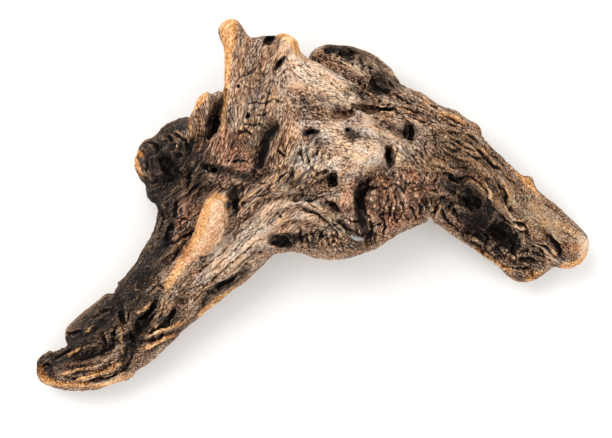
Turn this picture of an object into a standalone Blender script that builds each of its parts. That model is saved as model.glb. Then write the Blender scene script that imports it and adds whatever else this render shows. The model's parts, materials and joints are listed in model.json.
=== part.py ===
"""Driftwood: one weathered root crown with two spread arms, lying flat on three worn feet.

Plan positions are millimetres on a layout sheet, x to the right and y away from the viewer, heights are
millimetres above the surface that the wood lies on. The finished solid is in metres, with its origin at
the middle of its base.
"""

import math

import bmesh
import bpy
import numpy as np
from mathutils import Vector, noise

MM = 0.001
NAME = "driftwood"

# Fineness of the model, in millimetres, and the most triangles that it may have
SKIN_STEP = 2.0
LOFT_STEP = 6.0
CREASE_STEP = 4.0
RING_SIDES = 20
BALL_SIDES = 24
BALL_RINGS = 16
MOST_TRIANGLES = 10900

# How far junctions are softened, in passes over the skin
FILLET_PASSES = 10
RIM_PASSES = 2
PASS_STRENGTH = 0.5

# Turns in degrees of the rings that round off both ends of a limb
CAP_TURNS = (30, 55, 75)

# Upward part of the normal from which the skin is pressed in full
FULL_FACING = 0.45

# A height above all of the wood, in metres
ABOVE = 0.3

# Gentle lumps all over the skin: wavelength and height in millimetres
LUMPS = ((21, 1.3), (9, 0.6))

# Height of the plane that wear has cut across the three feet, in millimetres on the layout sheet
FOOT_WEAR = 1.6

# Middle and size of the block below that plane
WEAR_BLOCK_PLACE = (240, 180)
WEAR_BLOCK_SIZE = (900, 900, 100)

# Weathered grey brown, the colour of most of the wood
WOOD_COLOUR = (0.205, 0.125, 0.078)
WOOD_ROUGHNESS = 0.86

# Edges sharper than this stay sharp, in degrees
SHARP_ANGLE = 50

# Each limb is a list of stations: x, y, height of its middle, half width, half depth
LIMBS = {
    "left_arm": (
        (214, 192, 50, 36, 30),
        (178.5, 160.5, 44, 38.7, 28),
        (146.5, 131, 40, 35.3, 27),
        (118.5, 103.5, 35, 33, 25),
        (93.5, 81, 30, 33.3, 22),
        (70.5, 64.5, 25, 29.3, 20),
        (50, 55.5, 22, 21, 17),
        (36.8, 53.3, 20, 14.8, 13),
    ),
    "left_flank": (
        (150, 206, 40, 25, 22),
        (144, 184, 38, 19.5, 22),
        (135, 160, 36, 14.5, 20),
        (119, 137, 33, 12, 18),
    ),
    "left_knob": (
        (176, 230, 46, 30, 28),
        (150, 225, 42, 32, 25),
        (131, 221, 40, 28, 21),
        (120, 221.5, 38, 20.5, 13),
    ),
    "stub": (
        (135, 118, 56, 6, 6),
        (147, 134, 63, 8, 8),
        (161, 151, 69, 10.5, 9),
        (168.5, 165, 75, 12, 9.5),
        (173, 177, 80, 12, 9.5),
        (174.5, 184, 83, 10, 9),
    ),
    "fin": (
        (160, 236, 54, 15, 16),
        (163, 255, 59, 11, 12),
        (166.5, 268.5, 61, 8, 10),
    ),
    "cleft_floor": (
        (174, 236, 42, 12, 16),
        (174, 262, 44, 9, 12),
        (175, 270, 44, 8.5, 9),
    ),
    "shoulder": (
        (245, 214, 64, 42, 30),
        (217, 258, 65, 37, 26),
        (212, 288, 64, 31.5, 20),
        (210, 306.5, 62, 27, 14),
    ),
    "horn": (
        (196, 292, 64, 15, 15),
        (191, 311, 67, 12, 12),
        (185.2, 323.5, 69, 10.6, 10),
    ),
    "crest": (
        (224, 292, 66, 17, 16),
        (228, 309, 67, 13, 13),
    ),
    "pale_slope": (
        (228, 298, 66, 13, 13),
        (250, 282, 70, 17, 18),
        (276, 262, 74, 22, 20),
    ),
    "back_rib": (
        (263, 299.5, 44, 16.8, 20),
        (283.5, 291, 46, 21.5, 22),
        (298, 283, 47, 20, 21),
        (315, 269.5, 49, 14.5, 19),
        (335, 260, 50, 15.5, 18),
        (360, 252.5, 52, 8, 10),
        (380.5, 246.3, 52, 4.4, 6),
    ),
    "belly": (
        (205, 178, 50, 33, 30),
        (240, 184, 54, 36.5, 32),
        (272, 181, 54, 38.5, 30),
        (312, 193, 54, 31.5, 27),
        (336, 199, 50, 26.5, 24),
    ),
    "right_ridge": (
        (296, 234, 60, 34, 30),
        (343, 231, 60, 37, 28),
        (373, 211, 54, 29.5, 26),
        (406, 186, 46, 26, 23),
        (437, 164, 36, 24, 19),
        (459.5, 151.5, 29, 18.9, 14),
    ),
    "right_web": (
        (338, 208, 32, 24, 16),
        (385, 184, 28, 26, 14),
        (425, 158, 22, 22, 12),
        (446, 150, 20, 14, 11),
    ),
    "right_keel": (
        (330, 194, 42, 18, 20),
        (353, 184, 40, 13, 17),
        (376, 168, 35, 13, 16),
        (400, 152.5, 29, 12, 15),
        (422.5, 137, 24, 14.5, 14),
        (434, 139, 23, 10.5, 12),
    ),
    "thorn": (
        (419, 196, 44, 9, 9),
        (424, 203, 46, 6, 6),
        (423.5, 208, 47, 3.6, 3.8),
    ),
    "arm_lip": (
        (74, 97, 32, 9, 10),
        (61, 88, 30, 8, 9),
        (54, 84.5, 29, 5.5, 6),
    ),
    "under_root": (
        (128, 128, 26, 20, 16),
        (205, 200, 26, 38, 18),
        (290, 212, 26, 38, 18),
        (360, 214, 30, 28, 18),
    ),
    "back_root": (
        (238, 250, 46, 20, 18),
        (218, 276, 24, 15, 14),
        (209, 286, 8, 12, 10),
    ),
}

# Each swelling is a squashed ball: x, y, height, and its three half sizes
SWELLINGS = {
    "mound": (264, 224, 60, 50, 38, 40),
    "boss": (286, 234, 78, 26, 22, 24),
    "burl": (320, 192, 62, 29, 24, 26),
    "knob_heel": (125.3, 199, 37, 10.4, 12, 14),
    "rim_heel": (94, 51.5, 24, 13, 9.5, 12),
    "left_foot": (66, 62, 11, 16, 14, 11),
    "right_foot": (434, 156, 11, 16, 14, 11),
}

# Each hollow is a squashed ball of decay: x, y, height, three half sizes, turn in degrees
HOLLOWS = {
    "shoulder_cleft": (174, 257, 80, 5.5, 20, 32, -20),
    "long_cleft": (297, 261.5, 84, 20, 4.2, 17, -2),
    "cleft_hollow": (273, 257, 93, 9, 5, 11, 15),
    "pit": (326, 244, 86, 5, 8, 17, 0),
    "pit_shelf": (312, 247, 91, 13, 5.5, 9, 0),
    "side_slit": (310, 224, 90, 4.2, 11, 20, 6),
    "three_cornered_hole": (265, 205, 97, 5.5, 6.5, 18, 0),
    "band_slit": (266, 185, 86, 8, 3.5, 12, -35),
    "charred_dent": (303, 281, 68, 11, 8, 9, -15),
    "rib_hole": (278, 307, 66, 7.5, 6, 13, 0),
    "rib_pit": (262, 310, 64, 5, 4, 9, 20),
    "knob_hollow": (134, 218, 67, 8, 12, 13, 30),
    "knob_dent": (133, 237, 66, 9, 6, 9, -20),
    "fringe_hollow": (226, 158, 74, 10, 5.5, 11, 5),
    "arm_hollow": (119, 97, 62, 6, 12, 13, -40),
    "trough_pocket": (400, 165, 48, 11, 7, 15, -35),
    "trough_head": (375, 190, 62, 13, 8, 16, -40),
    "saddle_knot": (216, 316, 76, 4.4, 5, 14, 0),
    "arm_notch": (86, 118.8, 40, 6.5, 5, 40, 10),
    "tip_notch": (44, 75, 30, 8, 7, 40, 35),
    "web_notch": (344, 170, 40, 3, 9, 60, 0),
    "under_hollow": (256, 206, -2, 44, 16, 16, 10),
    "under_arm_hollow": (140, 128, 4, 9, 34, 11, -42),
    "under_ridge_hollow": (392, 190, 5, 30, 8, 10, -36),
}

# How uneven the hollows are, and how many bumps they have over their radius
HOLLOW_WARP = 0.55
HOLLOW_KNOBS = 1.5

# Each worm hole or knot hole is a short tapered bore: x, y, radius, length over width, turn in degrees
BORES = {
    "horn_bore": (192, 279, 1.9, 1.1, 0),
    "shoulder_bore": (199.5, 255.5, 2.8, 1.2, 80),
    "boss_bore": (277, 244, 2.2, 1.2, 0),
    "mound_bore": (248, 242.5, 2.4, 2.0, 0),
    "slab_bore": (172, 213.5, 2.8, 1.3, 0),
    "crest_slit": (224.5, 297.5, 2.1, 2.2, 48),
    "cleft_bore": (281, 264, 1.8, 1.2, 0),
}
BORE_DEPTH = 11.0
BORE_SIDES = 9
BORE_TAPER = 0.55

# Each crease is a furrow pressed into the upper side, or a ridge where its depth is less than nothing:
# x, y, half width, depth
CREASES = {
    "slab_rim": ((187, 330, 6, -1), (185, 305, 5, -3), (185, 280, 5, -3), (184, 262, 5, -2.5),
                 (179, 245, 5, -2), (182, 226, 5, -1)),
    "slab_dish": ((212, 314, 12, 2), (209, 297, 20, 5), (206, 275, 18, 4), (204, 258, 14, 1)),
    "crest_rim": ((226, 320, 6, -1), (234, 306, 6, -3), (238, 292, 7, -2)),
    "slab_foot": ((160, 217, 4, 2), (172, 214, 5, 6), (188, 211, 4, 3), (203, 208, 5, 7)),
    "shoulder_groove": ((226, 251, 7, 2), (217, 247, 9, 8), (210, 237, 9, 10), (206, 225, 8, 10),
                        (203, 215, 6, 3)),
    "mound_foot": ((203, 207, 5, 6), (214, 209, 3.5, 4), (228, 215, 3, 3), (240, 224, 3, 1)),
    "band_top": ((196, 181, 3, 1), (215, 190, 3.5, 3.5), (238, 192, 3.5, 4), (256, 189, 3.5, 4.5),
                 (268, 180, 3.5, 4.5), (277, 169, 3.5, 3.5), (286, 160, 3, 2)),
    "band_low": ((205, 170, 3, 1), (222, 180, 3.5, 3), (240, 184, 3.5, 3.5), (255, 178, 3.5, 3.5),
                 (263, 167, 3.5, 3.5), (268, 153, 3, 2)),
    "band_under": ((214, 160, 4, 2), (232, 171, 4, 4), (248, 170, 4, 4), (257, 160, 4, 2)),
    "stub_right": ((186, 200, 5, 3), (187, 184, 5, 9), (185, 166, 4.5, 8), (180, 153, 3.5, 5),
                   (172, 145, 3, 1)),
    "stub_left": ((163, 198, 4, 3), (157, 180, 4.5, 6), (152, 164, 4.5, 6), (143, 150, 4.5, 6),
                  (131, 138, 4, 4), (123, 130, 3, 1)),
    "char_line": ((128, 184, 3, 1), (137, 172, 3.5, 4), (134, 157, 3.5, 3), (126, 146, 3, 1)),
    "arm_valley": ((131, 120, 4, 2), (124, 108, 5, 6), (118, 96, 6, 7), (111, 86, 5, 6),
                   (104, 74, 4, 6), (100, 62, 3.5, 6), (99, 50, 3, 4)),
    "arm_side": ((153, 122, 3, 1), (146, 110, 4, 4), (137, 97, 4, 4.5), (129, 87, 3, 2)),
    "rim_layer": ((111, 77, 3, 3), (128, 81, 3, 4), (143, 85, 3, 2)),
    "rim_ridge": ((110, 82, 3, -1), (126, 86, 3.5, -3), (148, 94, 3, -2)),
    "lower_strip": ((152, 98, 3, 1), (168, 117, 3.5, 4), (184, 125, 4, 5), (199, 137, 3.5, 4)),
    "tip_low": ((70, 42, 2.5, 1), (85, 45, 3, 4), (97, 50, 3, 2)),
    "tip_middle": ((50, 48, 2.5, 2), (72, 50, 3, 4), (97, 57, 3, 3)),
    "tip_high": ((46, 54, 3, 2), (70, 57, 3, 4), (97, 63, 3, 3)),
    "tip_back": ((48, 62, 3, 2), (62, 66, 4, 5), (78, 72, 4, 5), (95, 84, 3, 2)),
    "tip_char": ((52, 79, 3, 2), (68, 84, 4, 4), (85, 95, 4, 4), (98, 110, 3, 2)),
    "twist": ((92, 114, 3, 4), (97, 104, 3.5, 4), (98, 92, 3.5, 5), (101, 80, 3.5, 5)),
    "knob_fold": ((112, 227, 4, 2), (122, 230, 5, 5), (134, 238, 5, 4), (148, 244, 4, 1)),
    "knob_low": ((118, 208, 4, 2), (128, 205, 5, 5), (141, 206, 5, 4), (150, 199, 4, 1)),
    "knob_seam": ((151, 258, 3, 2), (154, 242, 3, 4), (152, 228, 3.5, 5), (153, 212, 3.5, 3)),
    "slope_edge": ((248, 303, 3, 3), (262, 298, 4, 5), (276, 291, 5, 6), (287, 280, 6, 6),
                   (292, 269, 5, 4)),
    "pit_valley": ((299, 254, 5, 4), (312, 247, 6, 5), (326, 242, 6, 5), (338, 246, 4, 2)),
    "boss_side": ((304, 250, 4, 2), (307, 234, 5, 5), (309, 220, 5, 6), (302, 211, 5, 4)),
    "burl_left": ((303, 212, 5, 5), (294, 205, 6, 9), (288, 192, 6.5, 11), (288, 179, 6.5, 10),
                  (290, 167, 5, 8), (294, 156, 4, 5)),
    "burl_top": ((300, 208, 3, 3), (316, 212, 3.5, 4.5), (334, 209, 3.5, 4), (353, 208, 4, 4)),
    "burl_crack_one": ((303, 199, 3, 2), (302, 184, 3, 4), (306, 167, 3, 2)),
    "burl_crack_two": ((312, 202, 3, 2), (318, 186, 3, 4), (312, 169, 3, 3)),
    "burl_curl": ((350, 197, 4.5, -3), (338, 197, 4.5, -4), (325, 189, 4, -3), (322, 178, 4, -2)),
    "curl_eye": ((348, 190, 3, 3), (339, 190, 3.5, 4), (335, 182, 3.5, 4), (337, 173, 3, 2)),
    "notch_fold": ((344, 174, 3, 7), (347, 182, 4, 7), (353, 190, 4, 5), (364, 196, 3, 2)),
    "trough": ((347, 207, 6, 3), (362, 203, 9, 9), (378, 190, 12, 13), (392, 176, 12, 13),
               (404, 163, 11, 12), (414, 152, 8, 6)),
    "keel_line": ((352, 178, 3, 2), (372, 168, 3.5, 4), (392, 154, 3.5, 4), (411, 141, 3, 3)),
    "ridge_crack": ((338, 243, 2.5, 1), (358, 243, 3, 3.5), (376, 235, 3, 4), (390, 222, 3.5, 5.5),
                    (397, 214, 3.5, 4), (405, 204, 2.5, 1)),
    "ridge_split": ((366, 226, 2.5, 1), (382, 222, 3, 4), (396, 206, 3.5, 5), (403, 190, 3, 4),
                    (409, 180, 2.5, 1)),
    "ridge_back": ((345, 255, 3, 2), (362, 250, 3, 3.5), (380, 238, 3, 4), (402, 218, 2.5, 1)),
    "tip_curl": ((404, 150, 3, 3), (415, 156, 3.5, 4), (426, 151, 3.5, 4), (440, 143, 3, 2)),
    "tip_round": ((430, 169, 3, 2), (442, 158, 3.5, 4), (448, 150, 3.5, 4), (451, 142, 3, 3)),
    "rib_layer": ((312, 272, 4, 3), (330, 268, 4, 4), (350, 259, 4, 4), (371, 248, 3.5, 4)),
    "rib_edge": ((308, 291, 3, 3), (325, 281, 3.5, 4), (345, 270, 3.5, 4), (361, 260, 3, 2)),
}

# The same for the under side
UNDER_CREASES = {
    "arm_groove_one": ((58, 66, 4, 2), (92, 92, 5, 6), (128, 118, 6, 7), (168, 160, 6, 6), (206, 186, 5, 2)),
    "arm_groove_two": ((84, 62, 4, 2), (122, 88, 5, 5), (160, 124, 6, 6), (204, 158, 6, 5), (250, 170, 5, 2)),
    "ridge_groove_one": ((300, 236, 5, 2), (346, 226, 6, 6), (386, 200, 6, 7), (426, 170, 5, 3)),
    "ridge_groove_two": ((318, 196, 4, 2), (356, 194, 5, 5), (394, 168, 5, 6), (424, 148, 4, 3)),
    "crown_groove": ((186, 300, 5, 2), (196, 262, 7, 6), (216, 226, 7, 7), (250, 206, 6, 3)),
    "back_groove": ((262, 300, 5, 3), (288, 270, 6, 6), (324, 246, 6, 5), (352, 240, 5, 2)),
    "knob_groove": ((116, 224, 4, 2), (144, 222, 6, 5), (176, 214, 6, 5), (206, 206, 5, 2)),
}


def catmull(p0, p1, p2, p3, t):
    """A point on the smooth curve through p1 and p2."""
    return 0.5 * (
        2 * p1
        + (p2 - p0) * t
        + (2 * p0 - 5 * p1 + 4 * p2 - p3) * t * t
        + (3 * p1 - p0 - 3 * p2 + p3) * t**3
    )


def smooth_stations(stations, step):
    """The stations with more in between, on one smooth curve."""
    rows = np.array(stations, float)
    rows = np.vstack([2 * rows[0] - rows[1], rows, 2 * rows[-1] - rows[-2]])
    found = []
    for i in range(1, len(rows) - 2):
        count = max(1, round(np.linalg.norm(rows[i + 1, :2] - rows[i, :2]) / step))
        for k in range(count):
            found.append(catmull(*rows[i - 1 : i + 3], k / count))
    found.append(rows[-2])
    return np.array(found)


def loft_limb(mesh, stations):
    """Adds a closed round limb whose section changes from station to station."""
    rows = smooth_stations(stations, LOFT_STEP)
    rings = []
    for i, row in enumerate(rows):
        along = rows[min(i + 1, len(rows) - 1)][:3] - rows[max(i - 1, 0)][:3]
        rings.append((row[:3], Vector(along).normalized(), row[3], row[4]))
    for end, sign in ((0, -1), (-1, 1)):
        middle, along, wide, deep = rings[end]
        reach = min(wide, deep)
        for turn in CAP_TURNS:
            lift = math.sin(math.radians(turn))
            shrink = math.cos(math.radians(turn))
            ring = (middle + np.array(along) * sign * reach * lift, along, wide * shrink, deep * shrink)
            rings = [ring] + rings if end == 0 else rings + [ring]
    rows_of_points = []
    for middle, along, wide, deep in rings:
        side = along.cross(Vector((0, 0, 1))).normalized()
        up = side.cross(along)
        points = []
        for k in range(RING_SIDES):
            turn = math.tau * k / RING_SIDES
            place = Vector(middle) + side * wide * math.cos(turn) + up * deep * math.sin(turn)
            points.append(mesh.verts.new(place * MM))
        rows_of_points.append(points)
    for lower, upper in zip(rows_of_points, rows_of_points[1:]):
        for k in range(RING_SIDES):
            after = (k + 1) % RING_SIDES
            mesh.faces.new((lower[k], lower[after], upper[after], upper[k]))
    mesh.faces.new(rows_of_points[0][::-1])
    mesh.faces.new(rows_of_points[-1])


def add_ball(mesh, x, y, z, wide, long, high):
    """Adds a squashed ball."""
    made = bmesh.ops.create_uvsphere(mesh, u_segments=BALL_SIDES, v_segments=BALL_RINGS, radius=1)
    for vert in made["verts"]:
        vert.co = Vector((x + vert.co.x * wide, y + vert.co.y * long, z + vert.co.z * high)) * MM


def object_from(mesh, name, collection):
    """Turns a bmesh into an object of one collection."""
    data = bpy.data.meshes.new(name)
    mesh.to_mesh(data)
    mesh.free()
    made = bpy.data.objects.new(name, data)
    collection.objects.link(made)
    return made


def new_collection(name):
    """A fresh collection under the scene's own."""
    made = bpy.data.collections.new(name)
    bpy.context.scene.collection.children.link(made)
    return made


def rough_form(collection):
    """One object with every limb and swelling in it, still overlapping."""
    mesh = bmesh.new()
    for stations in LIMBS.values():
        loft_limb(mesh, stations)
    for sizes in SWELLINGS.values():
        add_ball(mesh, *sizes)
    bmesh.ops.recalc_face_normals(mesh, faces=mesh.faces)
    return object_from(mesh, NAME, collection)


def add_cutter(mesh, name, collection):
    """A cutter that is seen as wire and never rendered."""
    cutter = object_from(mesh, name, collection)
    cutter.hide_render = True
    cutter.display_type = "WIRE"
    return cutter


def hollow_cutter(name, sizes, collection):
    """One uneven squashed ball of decay, turned in plan."""
    x, y, z, wide, long, high, turn = sizes
    mesh = bmesh.new()
    add_ball(mesh, 0, 0, 0, wide, long, high)
    for vert in mesh.verts:
        outward = Vector((vert.co.x / wide, vert.co.y / long, vert.co.z / high)) / MM
        vert.co *= 1 + HOLLOW_WARP * noise.noise(outward * HOLLOW_KNOBS + Vector((x, y, z)))
    cutter = add_cutter(mesh, name, collection)
    cutter.location = (x * MM, y * MM, z * MM)
    cutter.rotation_euler = (0, 0, math.radians(turn))
    return cutter


def bore_cutter(name, sizes, top, collection):
    """One tapered bore that starts above the skin and ends in the wood."""
    x, y, radius, length, turn = sizes
    mesh = bmesh.new()
    bmesh.ops.create_cone(mesh, cap_ends=True, segments=BORE_SIDES, radius1=radius * BORE_TAPER * MM,
                          radius2=radius * MM, depth=2 * BORE_DEPTH * MM)
    for vert in mesh.verts:
        vert.co.x *= length
    cutter = add_cutter(mesh, name, collection)
    cutter.location = (x * MM, y * MM, top)
    cutter.rotation_euler = (0, 0, math.radians(turn))
    return cutter


def floor_cutter(collection):
    """A wide block whose top is the plane that wear has cut across the feet."""
    mesh = bmesh.new()
    bmesh.ops.create_cube(mesh, size=1)
    cutter = add_cutter(mesh, "foot_wear", collection)
    cutter.scale = Vector(WEAR_BLOCK_SIZE) * MM
    cutter.location = Vector((*WEAR_BLOCK_PLACE, FOOT_WEAR - WEAR_BLOCK_SIZE[2] / 2)) * MM
    return cutter


def apply_modifiers(wood):
    """Turns the object's modifiers into its own mesh."""
    graph = bpy.context.evaluated_depsgraph_get()
    data = bpy.data.meshes.new_from_object(wood.evaluated_get(graph))
    wood.modifiers.clear()
    wood.data = data


def skin_over(wood, passes):
    """Grows one closed skin over the shapes and softens where they meet."""
    remesh = wood.modifiers.new("skin", "REMESH")
    remesh.mode = "VOXEL"
    remesh.voxel_size = SKIN_STEP * MM
    smooth = wood.modifiers.new("fillets", "SMOOTH")
    smooth.factor = PASS_STRENGTH
    smooth.iterations = passes
    apply_modifiers(wood)


def cut_away(wood, cutters):
    """Takes every cutter of a collection out of the wood."""
    cut = wood.modifiers.new("hollows", "BOOLEAN")
    cut.operand_type = "COLLECTION"
    cut.collection = cutters
    cut.operation = "DIFFERENCE"
    apply_modifiers(wood)


def crease_depth(spots, stations):
    """How deep one crease is at each spot of the plan."""
    rows = smooth_stations(stations, CREASE_STEP)
    reach = rows[:, 2].max()
    low = rows[:, :2].min(axis=0) - reach
    high = rows[:, :2].max(axis=0) + reach
    near = np.nonzero(((spots > low) & (spots < high)).all(axis=1))[0]
    depth = np.zeros(len(near))
    for start, end in zip(rows[:-1], rows[1:]):
        run = end[:2] - start[:2]
        along = np.clip((spots[near] - start[:2]) @ run / (run @ run), 0, 1)[:, None]
        here = start + (end - start) * along
        away = np.linalg.norm(spots[near] - here[:, :2], axis=1) / here[:, 2]
        value = here[:, 3] * np.clip(1 - away**2, 0, None) ** 2
        depth = np.where(np.abs(value) > np.abs(depth), value, depth)
    found = np.zeros(len(spots))
    found[near] = depth
    return found


def press_creases(wood):
    """Presses the furrows in, raises the ridges, and makes the skin gently lumpy."""
    data = wood.data
    places = np.empty(len(data.vertices) * 3, np.float32)
    data.vertices.foreach_get("co", places)
    places = places.reshape(-1, 3)
    normals = np.empty(len(data.vertices) * 3, np.float32)
    data.vertex_normals.foreach_get("vector", normals)
    normals = normals.reshape(-1, 3)
    spots = places[:, :2].astype(float) / MM
    push = np.zeros(len(places))
    for table, side in ((CREASES, 1), (UNDER_CREASES, -1)):
        facing = np.clip(side * normals[:, 2] / FULL_FACING, 0, 1)
        for stations in table.values():
            push -= crease_depth(spots, stations) * facing
    for wavelength, height in LUMPS:
        lumps = [noise.noise(Vector(place) / (wavelength * MM)) for place in places]
        push += height * np.array(lumps)
    places += normals * (push * MM)[:, None]
    data.vertices.foreach_set("co", places.ravel())
    data.update()


def thin_out(wood):
    """Keeps as many triangles as the shape needs."""
    triangles = sum(len(face.vertices) - 2 for face in wood.data.polygons)
    thin = wood.modifiers.new("thin", "DECIMATE")
    thin.ratio = MOST_TRIANGLES / triangles
    apply_modifiers(wood)


def skin_height(wood, x, y):
    """Height of the upper side over one place of the plan, in metres."""
    hit, place, _normal, _face = wood.ray_cast((x * MM, y * MM, ABOVE), (0, 0, -1))
    if not hit:
        raise ValueError(f"no wood at {x}, {y}")
    return place.z


def stand_on_origin(wood):
    """Moves the mesh so that the middle of its base is the origin."""
    corners = np.array(wood.bound_box)
    middle = (corners.min(axis=0) + corners.max(axis=0)) / 2
    for vert in wood.data.vertices:
        vert.co -= Vector((middle[0], middle[1], corners[:, 2].min()))
    wood.data.update()
    return middle


def finish(wood):
    """Gives the wood its colour and its smooth shading."""
    material = bpy.data.materials.new("weathered_root_wood")
    material.use_nodes = True
    shader = material.node_tree.nodes["Principled BSDF"]
    shader.inputs["Base Color"].default_value = (*WOOD_COLOUR, 1)
    shader.inputs["Roughness"].default_value = WOOD_ROUGHNESS
    shader.inputs["Metallic"].default_value = 0
    wood.data.materials.clear()
    wood.data.materials.append(material)
    wood.data.shade_smooth()
    wood.data.set_sharp_from_angle(angle=math.radians(SHARP_ANGLE))


def main():
    """Builds the driftwood from its limbs to its finished skin."""
    for old in list(bpy.data.objects):
        bpy.data.objects.remove(old)
    parts = new_collection(NAME)
    hollows = new_collection("driftwood_hollow_cutters")
    bores = new_collection("driftwood_bore_cutters")
    wood = rough_form(parts)
    skin_over(wood, FILLET_PASSES)
    press_creases(wood)
    for name, sizes in HOLLOWS.items():
        hollow_cutter(name, sizes, hollows)
    cut_away(wood, hollows)
    skin_over(wood, RIM_PASSES)
    thin_out(wood)
    for name, sizes in BORES.items():
        bore_cutter(name, sizes, skin_height(wood, sizes[0], sizes[1]), bores)
    floor_cutter(bores)
    cut_away(wood, bores)
    middle = stand_on_origin(wood)
    for cutter in (*hollows.objects, *bores.objects):
        cutter.location -= Vector((middle[0], middle[1], FOOT_WEAR * MM))
    finish(wood)


main()
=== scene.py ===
"""Driftwood: the looks of one weathered root crown with two spread arms, seen from above.

Plan positions and heights are millimetres on the same layout sheet as the solid's, with x to the right and y
to the top of the picture. The wood's form is grown again from the solid's own sizes under a finer skin, and
then gets its grain, its drying cracks and its colours.
"""

import json
import math

import bmesh
import bpy
import numpy as np
from bpy.props import FloatProperty, FloatVectorProperty, IntProperty, PointerProperty
from bpy.types import Operator, Panel, PropertyGroup
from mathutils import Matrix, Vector, noise

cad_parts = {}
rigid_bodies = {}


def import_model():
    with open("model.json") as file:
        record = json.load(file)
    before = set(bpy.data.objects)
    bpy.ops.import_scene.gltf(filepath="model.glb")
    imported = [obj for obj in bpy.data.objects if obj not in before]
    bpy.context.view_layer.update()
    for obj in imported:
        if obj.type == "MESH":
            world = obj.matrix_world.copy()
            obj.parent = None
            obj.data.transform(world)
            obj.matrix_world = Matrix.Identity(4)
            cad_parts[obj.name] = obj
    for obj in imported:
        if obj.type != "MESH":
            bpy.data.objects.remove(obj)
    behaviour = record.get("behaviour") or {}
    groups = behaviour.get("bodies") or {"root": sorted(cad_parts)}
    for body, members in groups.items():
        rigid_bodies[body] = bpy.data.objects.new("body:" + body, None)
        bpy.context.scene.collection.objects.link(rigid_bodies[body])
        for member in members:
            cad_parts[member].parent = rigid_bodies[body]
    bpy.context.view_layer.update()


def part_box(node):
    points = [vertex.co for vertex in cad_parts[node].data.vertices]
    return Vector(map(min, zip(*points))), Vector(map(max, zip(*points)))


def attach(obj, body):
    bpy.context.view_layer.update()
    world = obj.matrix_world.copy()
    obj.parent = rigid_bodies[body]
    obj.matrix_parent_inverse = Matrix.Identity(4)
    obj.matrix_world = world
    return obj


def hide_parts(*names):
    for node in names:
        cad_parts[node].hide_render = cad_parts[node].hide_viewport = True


bl_info = {
    "name": "Driftwood",
    "version": (1, 0, 0),
    "blender": (4, 5, 0),
    "location": "3D View > Sidebar > Driftwood",
    "description": "Grows the skin, grain and colours of one piece of driftwood round its solid",
    "category": "Object",
}

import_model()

MM = 0.001
NODE = "driftwood"

# Where the solid's origin lies on the layout sheet, and what the feet have worn off, in millimetres
SHEET_MIDDLE = (249.449, 184.069)
FOOT_WEAR = 1.6

# The photograph's frame in pixels, the size of one at the height of the arms, that height and the sensor
PICTURE = (612, 438)
PIXEL_MM = 0.8
LOOK_HEIGHT_MM = 45
SENSOR_MM = 36
CAMERA_CLIP = (0.05, 20.0)

# The soft lights' places and sizes, half the floor's width in metres, and the brightness all round
LIGHTS = {"key_light": ((-0.7, 0.8, 1.5), 1.1), "fill_light": ((0.9, -0.9, 1.4), 2.2)}
FLOOR_REACH = 4.0
PAPER_ROUGHNESS = 0.9
STUDIO_STRENGTH = 0.9

# Fineness of the form in millimetres, its sides, and how far its junctions are softened
FORM_STEP = 2.0
LOFT_STEP = 6.0
CREASE_STEP = 4.0
RING_SIDES = 20
BALL_SIDES = 24
BALL_RINGS = 16
FILLET_PASSES = 10
RIM_PASSES = 2
PASS_STRENGTH = 0.5

# Turns in degrees of the rings that round off both ends of a limb
CAP_TURNS = (30, 55, 75)

# Depth over half width from which a drawn crack is painted in full shade to its bottom
SHADE_SLOPE = 1.9

# How steeply a drawn crack deepens from its ends, and what it starts with there
TAPER_RATE = 5
TAPER_START = 0.25

# Size and reach of the noises that make drawn cracks ragged, in millimetres, and their level for x and y
RAGGED = ((9.0, 1.6), (3.2, 0.9))
RAGGED_LEVELS = (0.0, 40.0)

# Upward part of the normal from which creases are pressed in full, and the same for drawn cracks
FULL_FACING = 0.45
CRACK_FACING = 0.3

# Upward parts of the normal between which the colours drawn on the upper side come in
COLOUR_FACING = (-0.2, 0.3)

# A height above all of the wood, in metres
ABOVE = 0.3

# Wavelength and height of the skin's gentle lumps, in millimetres
LUMPS = ((21, 1.3), (9, 0.6))

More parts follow.
